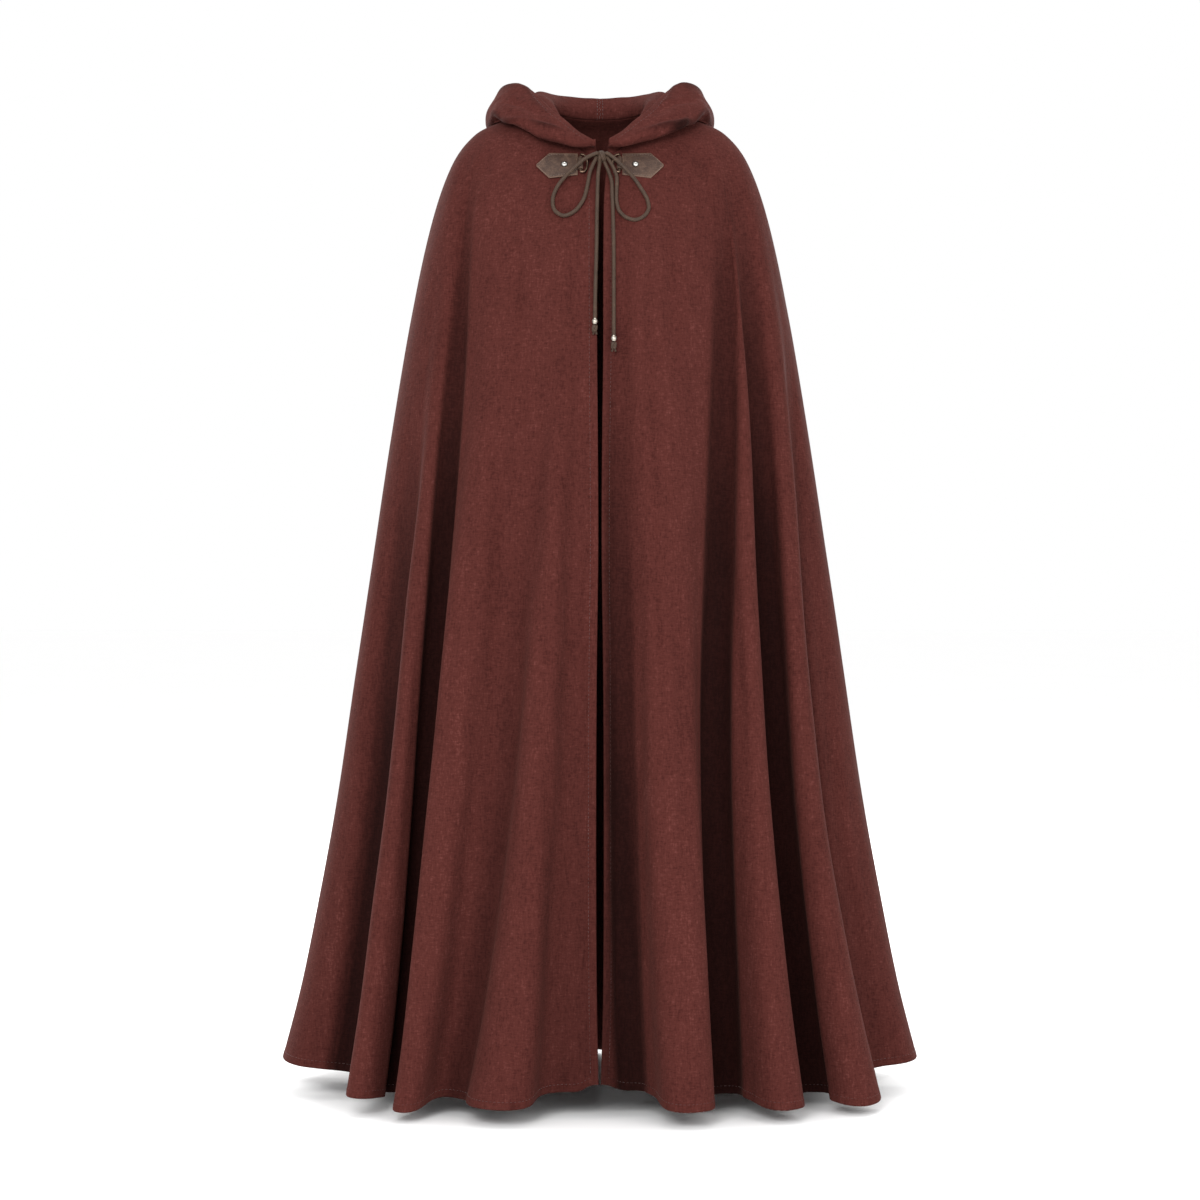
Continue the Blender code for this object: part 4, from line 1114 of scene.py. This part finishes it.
def span_stops(first, last, steps, seams):
    """Where the columns stand between one fold line and the next, closer together beside a seam."""
    stops = []
    for line in range(first, last):
        t = list(np.linspace(0.0, 1.0, steps, endpoint=False))
        if line in seams:
            t += SEAM_STOPS
        if line + 1 in seams:
            t += [1 - stop for stop in SEAM_STOPS]
        stops.append(np.array(sorted(t)))
    return stops


def cloak_row(level, first, stops):
    """Points across the cloak's cloth at a level, from a fold line on, with columns at the given stops."""
    turns, swells, drops, walls = fold_lines(level)
    grid = []
    for offset, t in enumerate(stops):
        line = first + offset
        wave = (1 - np.cos(math.pi * t)) / 2
        eased = t + walls[line] * np.sin(math.tau * t) / math.tau
        sweep = turns[line] + (turns[line + 1] - turns[line]) * eased
        swell = swells[line] + (swells[line + 1] - swells[line]) * wave
        drop = drops[line] + (drops[line + 1] - drops[line]) * wave
        grid.append(np.stack([sweep, swell, drop]))
    end = first + len(stops)
    grid.append(np.array([[turns[end]], [swells[end]], [drops[end]]]))
    sweep, swell, drop = np.concatenate(grid, axis=1)
    points, out = ring(level, sweep)
    points = points + out * swell[:, None]
    points[:, 2] -= drop
    return points, swell


def cloak_levels(rows):
    """Levels of a panel's rows, closer together at the hem."""
    return np.array(sorted([*np.linspace(0.0, HEM_LEVEL, rows), *(HEM_LEVEL - step for step in HEM_ROWS)]))


def crevice_depth(swell, across, first, last, stops):
    """How much deeper the cloth of a panel folds in at each point, along its valley lines."""
    lines = list(FOLDS)
    folded = np.zeros(swell.shape)
    places = np.cumsum([0] + [len(t) for t in stops])
    for line in range(first, last + 1):
        if lines[line] in CREVICES:
            depth, half_width, shift = CREVICES[lines[line]]
            column = min(places[line - first], swell.shape[1] - 1)
            grown = np.clip(-swell[:, column] / CREVICE_SWELL, 0.0, 1.0) ** CREVICE_GROWTH
            away = across - across[:, column : column + 1] - shift * grown[:, None]
            folded += depth * grown[:, None] * np.exp(-((away / half_width) ** 4))
    return folded


def creased(relief, points, behind):
    """A panel's relief with its creases pressed in, those of the back or those of the fronts."""
    x, y, z = np.moveaxis(points, -1, 0)
    across, metres, creases = x, 1.0, FRONT_CREASES
    if behind:
        across = np.degrees(np.arctan2(x, -y)) % 360
        metres = np.radians(1.0) * np.hypot(x, y)
        creases = BACK_CREASES
    for depth, half_width, path in creases:
        relief = relief - depth * crease(across, z, metres, 1.0, path, half_width)
    return relief


def panel_surface(first, last, rows, steps):
    """A panel's middle surface with its creases, its normals, and its wear with painted shade and its painted
    fold shade at each place.
    """
    lines = list(FOLDS)
    seams = (lines.index("right_side"), lines.index("left_side"))
    stops = span_stops(first, last, steps, seams)
    levels = cloak_levels(rows)
    made = [cloak_row(level, first, stops) for level in levels]
    points = np.array([row[0] for row in made])
    swell = np.array([row[1] for row in made])
    normals = grid_normals(points)
    across = row_distances(points)
    folded = crevice_depth(swell, across, first, last, stops)
    relief = creased(drift(points) - folded, points, behind=(first, last) == seams)
    settle = np.clip(column_distances(points) / PANEL_SETTLE[0], 0.0, 1.0)
    inset = np.minimum(across, across[:, -1:] - across)
    settle = settle * np.clip(inset / PANEL_SETTLE[1], 0.0, 1.0)
    points = points + normals * (relief * settle)[..., None]
    # Wear and painted shade: raised relief lighter, creases and crevices painted darker. Painted fold shade:
    # a painted highlight on ridges, painted shade in valleys and crevices.
    wear_and_shade = np.clip(FLAT_WEAR_AND_SHADE + relief * WEAR_AND_SHADE_PER_METRE, 0.0, 1.0)
    raised = np.where(swell > 0, RIDGE_HIGHLIGHT_PER_METRE, VALLEY_SHADE_PER_METRE) * swell
    fold = np.clip(FOLD_SHADE_LEVEL + raised - folded * CREVICE_SHADE_PER_METRE, 0.0, 1.0)
    return points, grid_normals(points), {"wear_and_shade": wear_and_shade, "fold": fold}


def panel_thickness(from_top, from_hem, from_start, from_end, front_edge):
    """How thick a panel is: turned in at its hem and front edge, thin at its seams."""
    thickness = edge_thickness(from_hem, TURNING)
    thickness = np.minimum(thickness, seam_thickness(from_top))
    for side, distance in (("start", from_start), ("end", from_end)):
        if side == front_edge:
            turned = edge_thickness(distance, TURNING)
            thickness = np.where(distance < from_hem, turned, thickness)
        else:
            thickness = np.minimum(thickness, seam_thickness(distance))
    return thickness


def draw_in(points, edge, beside):
    """Move the column at a seam in by a hair, so that two pieces never share a surface."""
    inward = points[:, beside] - points[:, edge]
    points[:, edge] += inward / np.linalg.norm(inward, axis=-1, keepdims=True) * SEAM_TOUCH


def make_panel(name, first, last, rows, steps, cloth, thread, front_edge):
    """A panel of the cloak with its seam edges, its turned hem and front edge, and their stitches."""
    points, normals, values = panel_surface(first, last, rows, steps)
    from_top = column_distances(points)
    from_hem = from_top[-1:] - from_top
    from_start = row_distances(points)
    from_end = from_start[:, -1:] - from_start
    thickness = panel_thickness(from_top, from_hem, from_start, from_end, front_edge)
    if front_edge != "start":
        draw_in(points, 0, 1)
    if front_edge != "end":
        draw_in(points, -1, -2)
    panel = add_wall(name + "_cloth", points, normals, thickness, cloth, values)
    half = CLOTH / 2 + STITCH_LIFT
    flipped = points.swapaxes(0, 1)
    hem = line_at_distance(flipped, normals.swapaxes(0, 1), from_hem.T, STITCH_INSET, half)
    lines = [hem]
    if front_edge:
        distance = from_start if front_edge == "start" else from_end
        edge = line_at_distance(points, normals, distance, STITCH_INSET, half)
        lines.append((edge[0][:-EDGE_STITCH_END], edge[1][:-EDGE_STITCH_END]))
    finish_cloth(panel, name, lines, thread)


def make_cloak(cloth, thread):
    """The two fronts and the back."""
    lines = list(FOLDS)
    right_side, left_side, end = lines.index("right_side"), lines.index("left_side"), len(lines) - 1
    panels = (
        ("cloak_front_right", 0, right_side, FRONT_ROWS, FRONT_STEPS, "start"),
        ("cloak_back", right_side, left_side, BACK_ROWS, BACK_STEPS, None),
        ("cloak_front_left", left_side, end, FRONT_ROWS, FRONT_STEPS, "end"),
    )
    for name, first, last, rows, steps, front_edge in panels:
        make_panel(name, first, last, rows, steps, cloth, thread, front_edge)


# The hood


def hood_stations(steps):
    """Which named place of the hood's cloth each row lies at, from 0 at the neck seam to 8 at the face."""
    stations = [0.0]
    for place, count in enumerate(steps):
        stations.extend(np.linspace(place, place + 1, count + 1)[1:])
    return np.array(stations)


def hood_places(path, bearings, stations, along):
    """A crease's places with their stations turned into distances from the neck seam."""
    places = []
    for bearing, station in path:
        column = np.argmin(abs(bearings - bearing))
        places.append((bearing, np.interp(station, stations, along[:, column])))
    return places


def hood_relief(points, bearings, along, side):
    """Height of the creases and of the unevenness of one half of the hood."""
    stations = hood_stations(HOOD_FINE_STEPS)
    per_degree = np.radians(1.0) * np.hypot(points[..., 0], points[..., 1])
    relief = np.zeros(bearings.shape)
    for which, depth, half_width, path in HOOD_CREASES:
        if which == side:
            places = hood_places(path, bearings[0], stations, along)
            relief -= depth * crease(bearings, along, per_degree, 1.0, places, half_width)
    return relief + drift(points * HOOD_DRIFT_SIZE) * HOOD_DRIFT_SHARE


def settled(distances):
    """How far the hood's relief has grown at distances from its face edge, neck seam and centre seam."""
    settle = np.ones(distances[0].shape)
    for distance, reach in zip(distances, HOOD_SETTLE):
        settle *= np.clip(distance / reach, 0.0, 1.0)
    return settle


def hood_stitch_lines(points, normals, from_face, from_centre):
    """Stitch lines along the face edge and the centre seam, each on the outside and the inside."""
    flipped = points.swapaxes(0, 1)
    outs = normals.swapaxes(0, 1)
    lift = CLOTH / 2 + STITCH_LIFT
    return [
        line_at_distance(flipped, outs, from_face.T, STITCH_INSET, lift),
        line_at_distance(flipped, -outs, from_face.T, STITCH_INSET, lift),
        line_at_distance(points, normals, from_centre, CENTRE_STITCH_INSET, lift),
        line_at_distance(points, -normals, from_centre, CENTRE_STITCH_INSET, lift),
    ]


def make_hood_half(name, edge, side, cloth, thread):
    """One half of the hood with its creases, its stitched face edge and its centre seam."""
    start = math.atan2(abs(section(edge, 0.0)), section("front", 0.0))
    points = hood_half(start, side, HOOD_COLUMNS, HOOD_FINE_STEPS)
    bearings = np.degrees(np.linspace(start, math.pi, HOOD_COLUMNS))[None, :] + 0 * points[..., 0]
    if side < 0:
        points = points[:, ::-1]
        bearings = bearings[:, ::-1]
    along = column_distances(points)
    across = row_distances(points)
    from_face = along[-1:] - along
    from_centre = across[:, -1:] - across if side > 0 else across
    relief = hood_relief(points, bearings, along, side)
    raised = relief * settled((from_face, along, from_centre))
    points = points + grid_normals(points) * raised[..., None]
    normals = grid_normals(points)
    centre = -1 if side > 0 else 0
    normals[:, centre, 0] = 0.0
    normals /= np.linalg.norm(normals, axis=-1, keepdims=True)
    points[:, centre, 0] = side * SEAM_TOUCH
    thickness = edge_thickness(from_face, TURNING)
    thickness = np.minimum(thickness, seam_thickness(along))
    thickness = np.minimum(thickness, seam_thickness(from_centre))
    rubbed_edge = FACE_EDGE_WORN * np.exp(-((from_face / FACE_EDGE_REACH) ** 2))
    # Rubbed face edge as wear; raised relief lighter and creases darker, partly wear and partly painted
    # shade; the fold value paints shade in creases and a highlight on raised cloth.
    wear_and_shade = np.clip(HOOD_FLAT_WEAR_AND_SHADE + relief * HOOD_WEAR_AND_SHADE_PER_METRE + rubbed_edge, 0.0, 1.0)
    fold = np.clip(FOLD_SHADE_LEVEL + relief * HOOD_FOLD_SHADE_PER_METRE, 0.0, 1.0)
    half = add_wall(name + "_cloth", points, normals, thickness, cloth, {"wear_and_shade": wear_and_shade, "fold": fold})
    lines = hood_stitch_lines(points, normals, from_face, from_centre)
    finish_cloth(half, name, lines, thread)


def make_hood(cloth, thread):
    """The two halves of the hood."""
    make_hood_half("hood_right", "right_edge", 1, cloth, thread)
    make_hood_half("hood_left", "left_edge", -1, cloth, thread)


# The leather tabs with their rivets and rings


def tab_corners():
    """The corners of a tab as out and up, along its top and back along its bottom."""
    return [(out, top) for out, top, _ in TAB] + [(out, bottom) for out, _, bottom in TAB[::-1]]


def tab_edge_distance(outs, heights):
    """Distance of each place on a tab from the tab's outline."""
    outline = tab_corners()
    outline.append(outline[0])
    nearest = np.full(outs.shape, np.inf)
    for (u0, v0), (u1, v1) in zip(outline, outline[1:]):
        run_u, run_v = u1 - u0, v1 - v0
        t = np.clip(((outs - u0) * run_u + (heights - v0) * run_v) / (run_u**2 + run_v**2), 0.0, 1.0)
        nearest = np.minimum(nearest, np.hypot(outs - u0 - t * run_u, heights - v0 - t * run_v))
    return nearest


def tab_outline(inset):
    """Places along a tab's long sides and point at an inset from its outline, as out and up."""
    table = np.array(TAB)
    centre = np.array([table[:, 0].mean(), (table[:, 1] + table[:, 2]).mean() / 2])
    drawn_in = []
    for corner in np.array(tab_corners()):
        away = corner - centre
        shrink = np.array([inset * 1.25 / max(abs(away[0]), 1e-6), inset / max(abs(away[1]), inset * 1.6)])
        drawn_in.append(centre + away * (1 - np.minimum(shrink, 0.6)))
    return np.array(drawn_in)


def tab_lines():
    """Where the lines of a tab's grid stand, as distances out and as shares of its height."""
    outs = np.array(TAB)[:, 0]
    edge = np.array(TAB_EDGE_LINES)
    even = np.linspace(outs[0], outs[-1], TAB_COLUMNS)
    across = np.concatenate([even, outs[0] + edge, outs[-1] - edge, outs])
    near_edge = edge / TAB_HEIGHT
    shares = np.concatenate([np.linspace(0.0, 1.0, TAB_ROWS), near_edge, 1 - near_edge])
    return np.unique(np.round(across, 6)), np.unique(shares)


def stitch_tab(name, side, lift, inset, thread):
    """A row of stitches round a tab, at an inset from its outline."""
    corners = tab_outline(inset)
    path = stepped_path(corners, [TAB_STITCH_STEPS] * (len(corners) - 1))
    line = [on_front(side * out, up, lift) for out, up in path]
    points = np.array([place for place, _ in line])
    ways = np.array([way for _, way in line])
    sizes = (TAB_STITCH_LENGTH, TAB_STITCH_PITCH, TAB_THREAD_RADIUS)
    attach(add_stitches(name, [(points, ways)], thread, *sizes), "root")


def make_tab(side_name, side, leather, thread):
    """A pointed leather tab with rounded, burnished edges and a row of stitches."""
    outs, tops, bottoms = np.array(TAB).T
    across, shares = tab_lines()
    if side < 0:
        across = across[::-1]
    lift = CLOTH / 2 + SEAM_GAP + LEATHER / 2
    grid = []
    heights = []
    for share in shares:
        level = np.interp(across, outs, tops) * (1 - share) + np.interp(across, outs, bottoms) * share
        heights.append(level)
        grid.append([on_front(side * out, height, lift) for out, height in zip(across, level)])
    grid = np.array(grid)
    inset = tab_edge_distance(np.tile(across, (len(shares), 1)), np.array(heights))
    round_off = np.sqrt(1 - (1 - np.clip(inset / TAB_ROUNDING, 0.0, 1.0)) ** 2)
    thickness = LEATHER * (TAB_EDGE_SHARE + (1 - TAB_EDGE_SHARE) * round_off)
    groove_depth, groove_inset, groove_width = TAB_GROOVE
    thickness -= groove_depth * np.exp(-(((inset - groove_inset) / groove_width) ** 2))
    wear_and_shade = TAB_WORN + (1 - TAB_WORN) * np.exp(-((inset / TAB_WORN_REACH) ** 2))
    name = f"tab_{side_name}_leather"
    tab = add_wall(name, grid[:, :, 0], grid[:, :, 1], thickness, leather, {"wear_and_shade": wear_and_shade})
    dress(tab, f"tab_{side_name}")
    top = lift + LEATHER / 2 - TAB_STITCH_SINK
    stitch_tab(f"tab_{side_name}_stitches", side, top, groove_inset, thread)


def make_rivet(side_name, side, metal, rim_metal):
    """A domed rivet head with a dimple, in a dark rolled rim."""
    lift = CLOTH / 2 + SEAM_GAP + LEATHER + SEAM_GAP
    base, out = on_front(side * RIVET_OUT, RIVET_UP, lift)
    profile = [(radius * RIVET_RADIUS, height * RIVET_HEIGHT) for radius, height in RIVET_HEAD]
    rivet = lathe(f"rivet_{side_name}_head", profile, base, out, ROUND_STEPS, metal)
    dress(rivet, f"rivet_{side_name}")
    level = Vector((0.0, 0.0, 1.0)).cross(out).normalized()
    upward = out.cross(level)
    circle = []
    for step in range(ROUND_STEPS):
        angle = math.tau * step / ROUND_STEPS
        round_way = level * math.cos(angle) + upward * math.sin(angle)
        circle.append(base + out * RIM_WIRE / 2 + round_way * (RIVET_RADIUS - RIM_WIRE / 2))
    # A plain dark metal ring round the head.
    rim = add_tube(f"rivet_{side_name}_rim", [circle], RIM_WIRE, rim_metal, closed=True)
    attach(rim, "root")


def keeper_frame(side):
    """The middle of a keeper, the way out of the cloth, the way towards the lace, and the way up."""
    middle, out = on_front(side * KEEPER_OUT, KEEPER_UP, KEEPER_LIFT)
    inward = Vector((0.0, 0.0, 1.0)).cross(out).normalized()
    if inward.x * side > 0:
        inward = -inward
    upward = out.cross(inward).normalized()
    if upward.z < 0:
        upward = -upward
    return middle, out, inward, upward


def make_keeper(side_name, side, leather):
    """The folded end of a tab round the ring's bar, as a flattened tube with soft rims."""
    middle, out, inward, upward = keeper_frame(side)
    vertices = []
    for share, more, shrink in KEEPER_PROFILE:
        height = KEEPER_HEIGHT / 2 * share + more
        width = KEEPER_HALF_WIDTH - KEEPER_WALL * shrink
        depth = KEEPER_HALF_DEPTH - KEEPER_WALL * shrink
        for step in range(KEEPER_SIDES):
            angle = math.tau * step / KEEPER_SIDES
            offset = inward * (width * math.cos(angle)) + out * (depth * math.sin(angle))
            vertices.append(middle + offset + upward * height)
    faces = []
    for band in range(len(KEEPER_PROFILE)):
        low = band * KEEPER_SIDES
        high = (band + 1) % len(KEEPER_PROFILE) * KEEPER_SIDES
        for step in range(KEEPER_SIDES):
            after = (step + 1) % KEEPER_SIDES
            quad = (low + step, low + after, high + after, high + step)
            faces.append(quad if side < 0 else quad[::-1])
    keeper = add_mesh(f"keeper_{side_name}_leather", vertices, faces, leather)
    wear_and_shade = []
    for _, _, shrink in KEEPER_PROFILE:
        on_rim = abs(shrink) > 0.1
        wear_and_shade += [KEEPER_RIM_WORN if on_rim else KEEPER_WORN] * KEEPER_SIDES
    keeper.data.attributes.new("wear_and_shade", "FLOAT", "POINT").data.foreach_set("value", wear_and_shade)
    dress(keeper, f"keeper_{side_name}")


def make_ring(side_name, side, metal):
    """The wire D-ring."""
    middle, _, inward, upward = keeper_frame(side)
    half = RING_HEIGHT / 2
    path = []
    for step in range(ROUND_STEPS + 1):
        angle = math.pi * (step / ROUND_STEPS - 0.5)
        reach = RING_REACH * max(0.0, math.cos(angle)) ** RING_FULLNESS
        path.append(middle + inward * reach + upward * half * math.sin(angle))
    path += [middle + upward * half * share for share in RING_BAR_STOPS]
    ring_piece = add_tube(f"ring_{side_name}_wire", [path], 2 * WIRE_RADIUS, metal, closed=True)
    dress(ring_piece, f"ring_{side_name}")


# The lace


def knot_centre():
    """The middle of the knot."""
    return on_front(KNOT_CENTRE[0], KNOT_CENTRE[1], KNOT_LIFT)[0]


def knot_exit(point):
    """Where a strand leaves the knot towards a point, and the place a little further along it."""
    centre = knot_centre()
    away = point - centre
    reach = Vector((away.x / KNOT_HALF_LENGTH, away.y / KNOT_RADIUS, away.z / KNOT_RADIUS)).length
    start = centre + away / reach + away.normalized() * SEAM_GAP
    return start, start + away.normalized() * KNOT_STUB


def lace_path(stretch, loop=False):
    """Points of a stretch of lace in front of the cloth."""
    points = [on_front(x, z, lift)[0] for x, z, lift in stretch]
    start, points[0] = knot_exit(points[0])
    if loop:
        end, points[-1] = knot_exit(points[-1])
    length = sum((b - a).length for a, b in zip(points, points[1:]))
    path = [start, *even_path(points, max(8, round(length / LACE_STEP)))]
    if loop:
        path.append(end)
    return [Vector(point) for point in path]


def make_strand(name, stretch, lace, loop=False):
    """A loop or hanging end of the lace as a cord."""
    path = lace_path(stretch, loop)
    strand = add_tube(name + "_strand", [path], LACE_DIAMETER, lace)
    dress(strand, name)


def make_span(name, stretch, lace):
    """A short stretch of lace from the knot to a ring, over its wire and in behind it."""
    path = lace_path(stretch)
    span = add_tube(name + "_strand", [path], LACE_DIAMETER, lace)
    dress(span, name)


def make_bead(side_name, centre, axis, metal):
    """A small metal bead with a collar round each end of its hole."""
    shape = [(radius, -height) for radius, height in BEAD_HALF]
    shape += [(1.0, 0.0), *BEAD_HALF[::-1]]
    profile = [(radius * BEAD_RADIUS, height * BEAD_RADIUS) for radius, height in shape]
    bead = lathe(f"bead_{side_name}_metal", profile, centre, axis, BEAD_SIDES, metal)
    dress(bead, f"bead_{side_name}")
    return bead


def trefoil(across, along):
    """Centre line of a small overhand knot about +Z that reaches so far across and along."""
    path = []
    for step in range(END_KNOT_STEPS):
        t = math.tau * step / END_KNOT_STEPS
        x = (math.sin(t) + 2 * math.sin(2 * t)) / 3 * across
        y = (math.cos(t) - 2 * math.cos(2 * t)) / 3 * across
        path.append((x, y, -math.sin(3 * t) * along))
    return path


def make_end_knot(side_name, centre, axis, lace):
    """The overhand knot that keeps a bead on the lace."""
    turn = turn_to(axis)
    shape = trefoil(END_KNOT_RADIUS - END_KNOT_TUBE, END_KNOT_HALF_LENGTH - END_KNOT_TUBE)
    path = [Vector(centre) + turn @ Vector(point) for point in shape]
    knot = add_tube(f"end_knot_{side_name}_lace", [path], 2 * END_KNOT_TUBE, lace, closed=True)
    dress(knot, f"end_knot_{side_name}")
    ends = []
    for side in (-1, 1):
        ends.append([Vector(centre) + turn @ Vector((side * x, y, z)) for x, y, z in KNOT_END])
    tips = add_tube(f"end_knot_{side_name}_tips", ends, TIP_WIDTH * END_KNOT_TUBE, lace)
    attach(tips, "root")
    return knot


def make_tail(side_name, stretch, lace, metal):
    """A hanging end of the lace with its bead and the knot under it."""
    path = lace_path(stretch)
    down = (path[-1] - path[-2]).normalized()
    bead_centre = path[-1] + down * (BEAD_RADIUS + SEAM_GAP)
    knot_middle = bead_centre + down * (BEAD_RADIUS + SEAM_GAP + END_KNOT_HALF_LENGTH)
    bead = make_bead(side_name, bead_centre, down, metal)
    knot = make_end_knot(side_name, knot_middle, down, lace)
    make_strand(f"lace_tail_{side_name}", stretch, lace)


def make_knot(lace):
    """The middle of the bow: strands that cross in it, and two tight turns round them."""
    centre = knot_centre()
    crossings = []
    for side in (-1, 1):
        for strand in (KNOT_OVER, KNOT_UNDER):
            path = [centre + Vector((side * x, y, z)) for x, y, z in strand]
            crossings.append(even_path(path, CROSSING_POINTS))
    turns = []
    for offset, lean, depth in KNOT_TURNS:
        turn = []
        for step in range(ROUND_STEPS):
            angle = math.tau * step / ROUND_STEPS
            x = offset + lean * math.sin(angle)
            z = KNOT_TURN_HEIGHT * math.sin(angle) - KNOT_TURN_DROP
            turn.append(centre + Vector((x, depth * math.cos(angle), z)))
        turns.append(turn)
    knot = add_tube("lace_knot_crossing", crossings, LACE_DIAMETER, lace)
    wraps = add_tube("lace_knot_turns", turns, KNOT_TURN_WIDTH * LACE_DIAMETER, lace, closed=True)
    dress(knot, "lace_knot")
    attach(wraps, "root")


def make_lace(lace, metal):
    """The whole bow."""
    make_strand("lace_loop_left", LOOP_LEFT, lace, loop=True)
    make_strand("lace_loop_right", LOOP_RIGHT, lace, loop=True)
    make_tail("left", TAIL_LEFT, lace, metal)
    make_tail("right", TAIL_RIGHT, lace, metal)
    make_span("lace_span_left", SPAN_LEFT, lace)
    make_span("lace_span_right", SPAN_RIGHT, lace)
    make_knot(lace)


# The studio


def make_camera():
    """The camera where the photograph was taken from."""
    camera = bpy.data.objects.new("camera", bpy.data.cameras.new("camera"))
    camera.data.lens = LENS
    camera.data.sensor_width = SENSOR
    camera.location = (0.0, -CAMERA_DISTANCE, CAMERA_HEIGHT)
    camera.rotation_euler = (math.radians(90), 0.0, 0.0)
    bpy.context.scene.collection.objects.link(camera)
    bpy.context.scene.camera = camera


def add_area_light(name, place, size, watts):
    """A soft rectangular light that faces the middle of the cloak."""
    light = bpy.data.lights.new(name, "AREA")
    light.shape = "RECTANGLE"
    light.size, light.size_y = size
    light.energy = watts
    thing = bpy.data.objects.new(name, light)
    thing.location = place
    thing.rotation_euler = (Vector(LIGHT_TARGET) - Vector(place)).to_track_quat("-Z", "Y").to_euler()
    bpy.context.scene.collection.objects.link(thing)


def make_studio():
    """A pale floor just below the hem, a white surround and soft lights, shown in plain display colours."""
    bpy.context.scene.view_settings.view_transform = "Standard"
    world = bpy.data.worlds.new("studio")
    bpy.context.scene.world = world
    world.use_nodes = True
    world.node_tree.nodes["Background"].inputs["Color"].default_value = BACKDROP_COLOUR
    world.node_tree.nodes["Background"].inputs["Strength"].default_value = WORLD_STRENGTH
    height = solid_low.z - FLOOR_GAP
    corners = [(x * FLOOR_REACH, y * FLOOR_REACH, height) for x, y in ((-1, -1), (1, -1), (1, 1), (-1, 1))]
    floor = add_mesh("floor", corners, [(0, 1, 2, 3)], studio_material("floor_paint", FLOOR_COLOUR))
    for name, place, size, watts in LIGHTS:
        add_area_light(name, place, size, watts)


def main():
    """Dress the cloak and set up the studio."""
    make_camera()
    lace = hide_material("lace_hide", LACE_DARK, LACE_MIDDLE, LACE_WORN, 1500.0, 0.44)
    leather = hide_material("tab_hide", LEATHER_DARK, LEATHER_MIDDLE, LEATHER_WORN, 900.0, 0.42)
    bright = metal_material("bright_steel", STEEL, 0.24, 0.60)
    bead_metal = metal_material("bead_steel", BEAD_STEEL, 0.26, 0.50)
    dark = metal_material("old_bronze", BRONZE, 0.34, 0.45)
    dark_rim = metal_material("dark_rim_metal", DARK_RIM_COLOUR, 0.42, 0.50)
    cloth = cloth_material()
    thread = thread_material("sewing_thread", THREAD_DARK, THREAD_LIGHT)
    tab_thread = thread_material("tab_thread", TAB_THREAD_DARK, TAB_THREAD_LIGHT)
    make_lace(lace, bead_metal)
    make_cloak(cloth, thread)
    make_hood(cloth, thread)
    for side_name, side in (("left", -1), ("right", 1)):
        make_tab(side_name, side, leather, tab_thread)
        make_keeper(side_name, side, leather)
        make_ring(side_name, side, dark)
        make_rivet(side_name, side, bright, dark_rim)
    make_studio()


main()
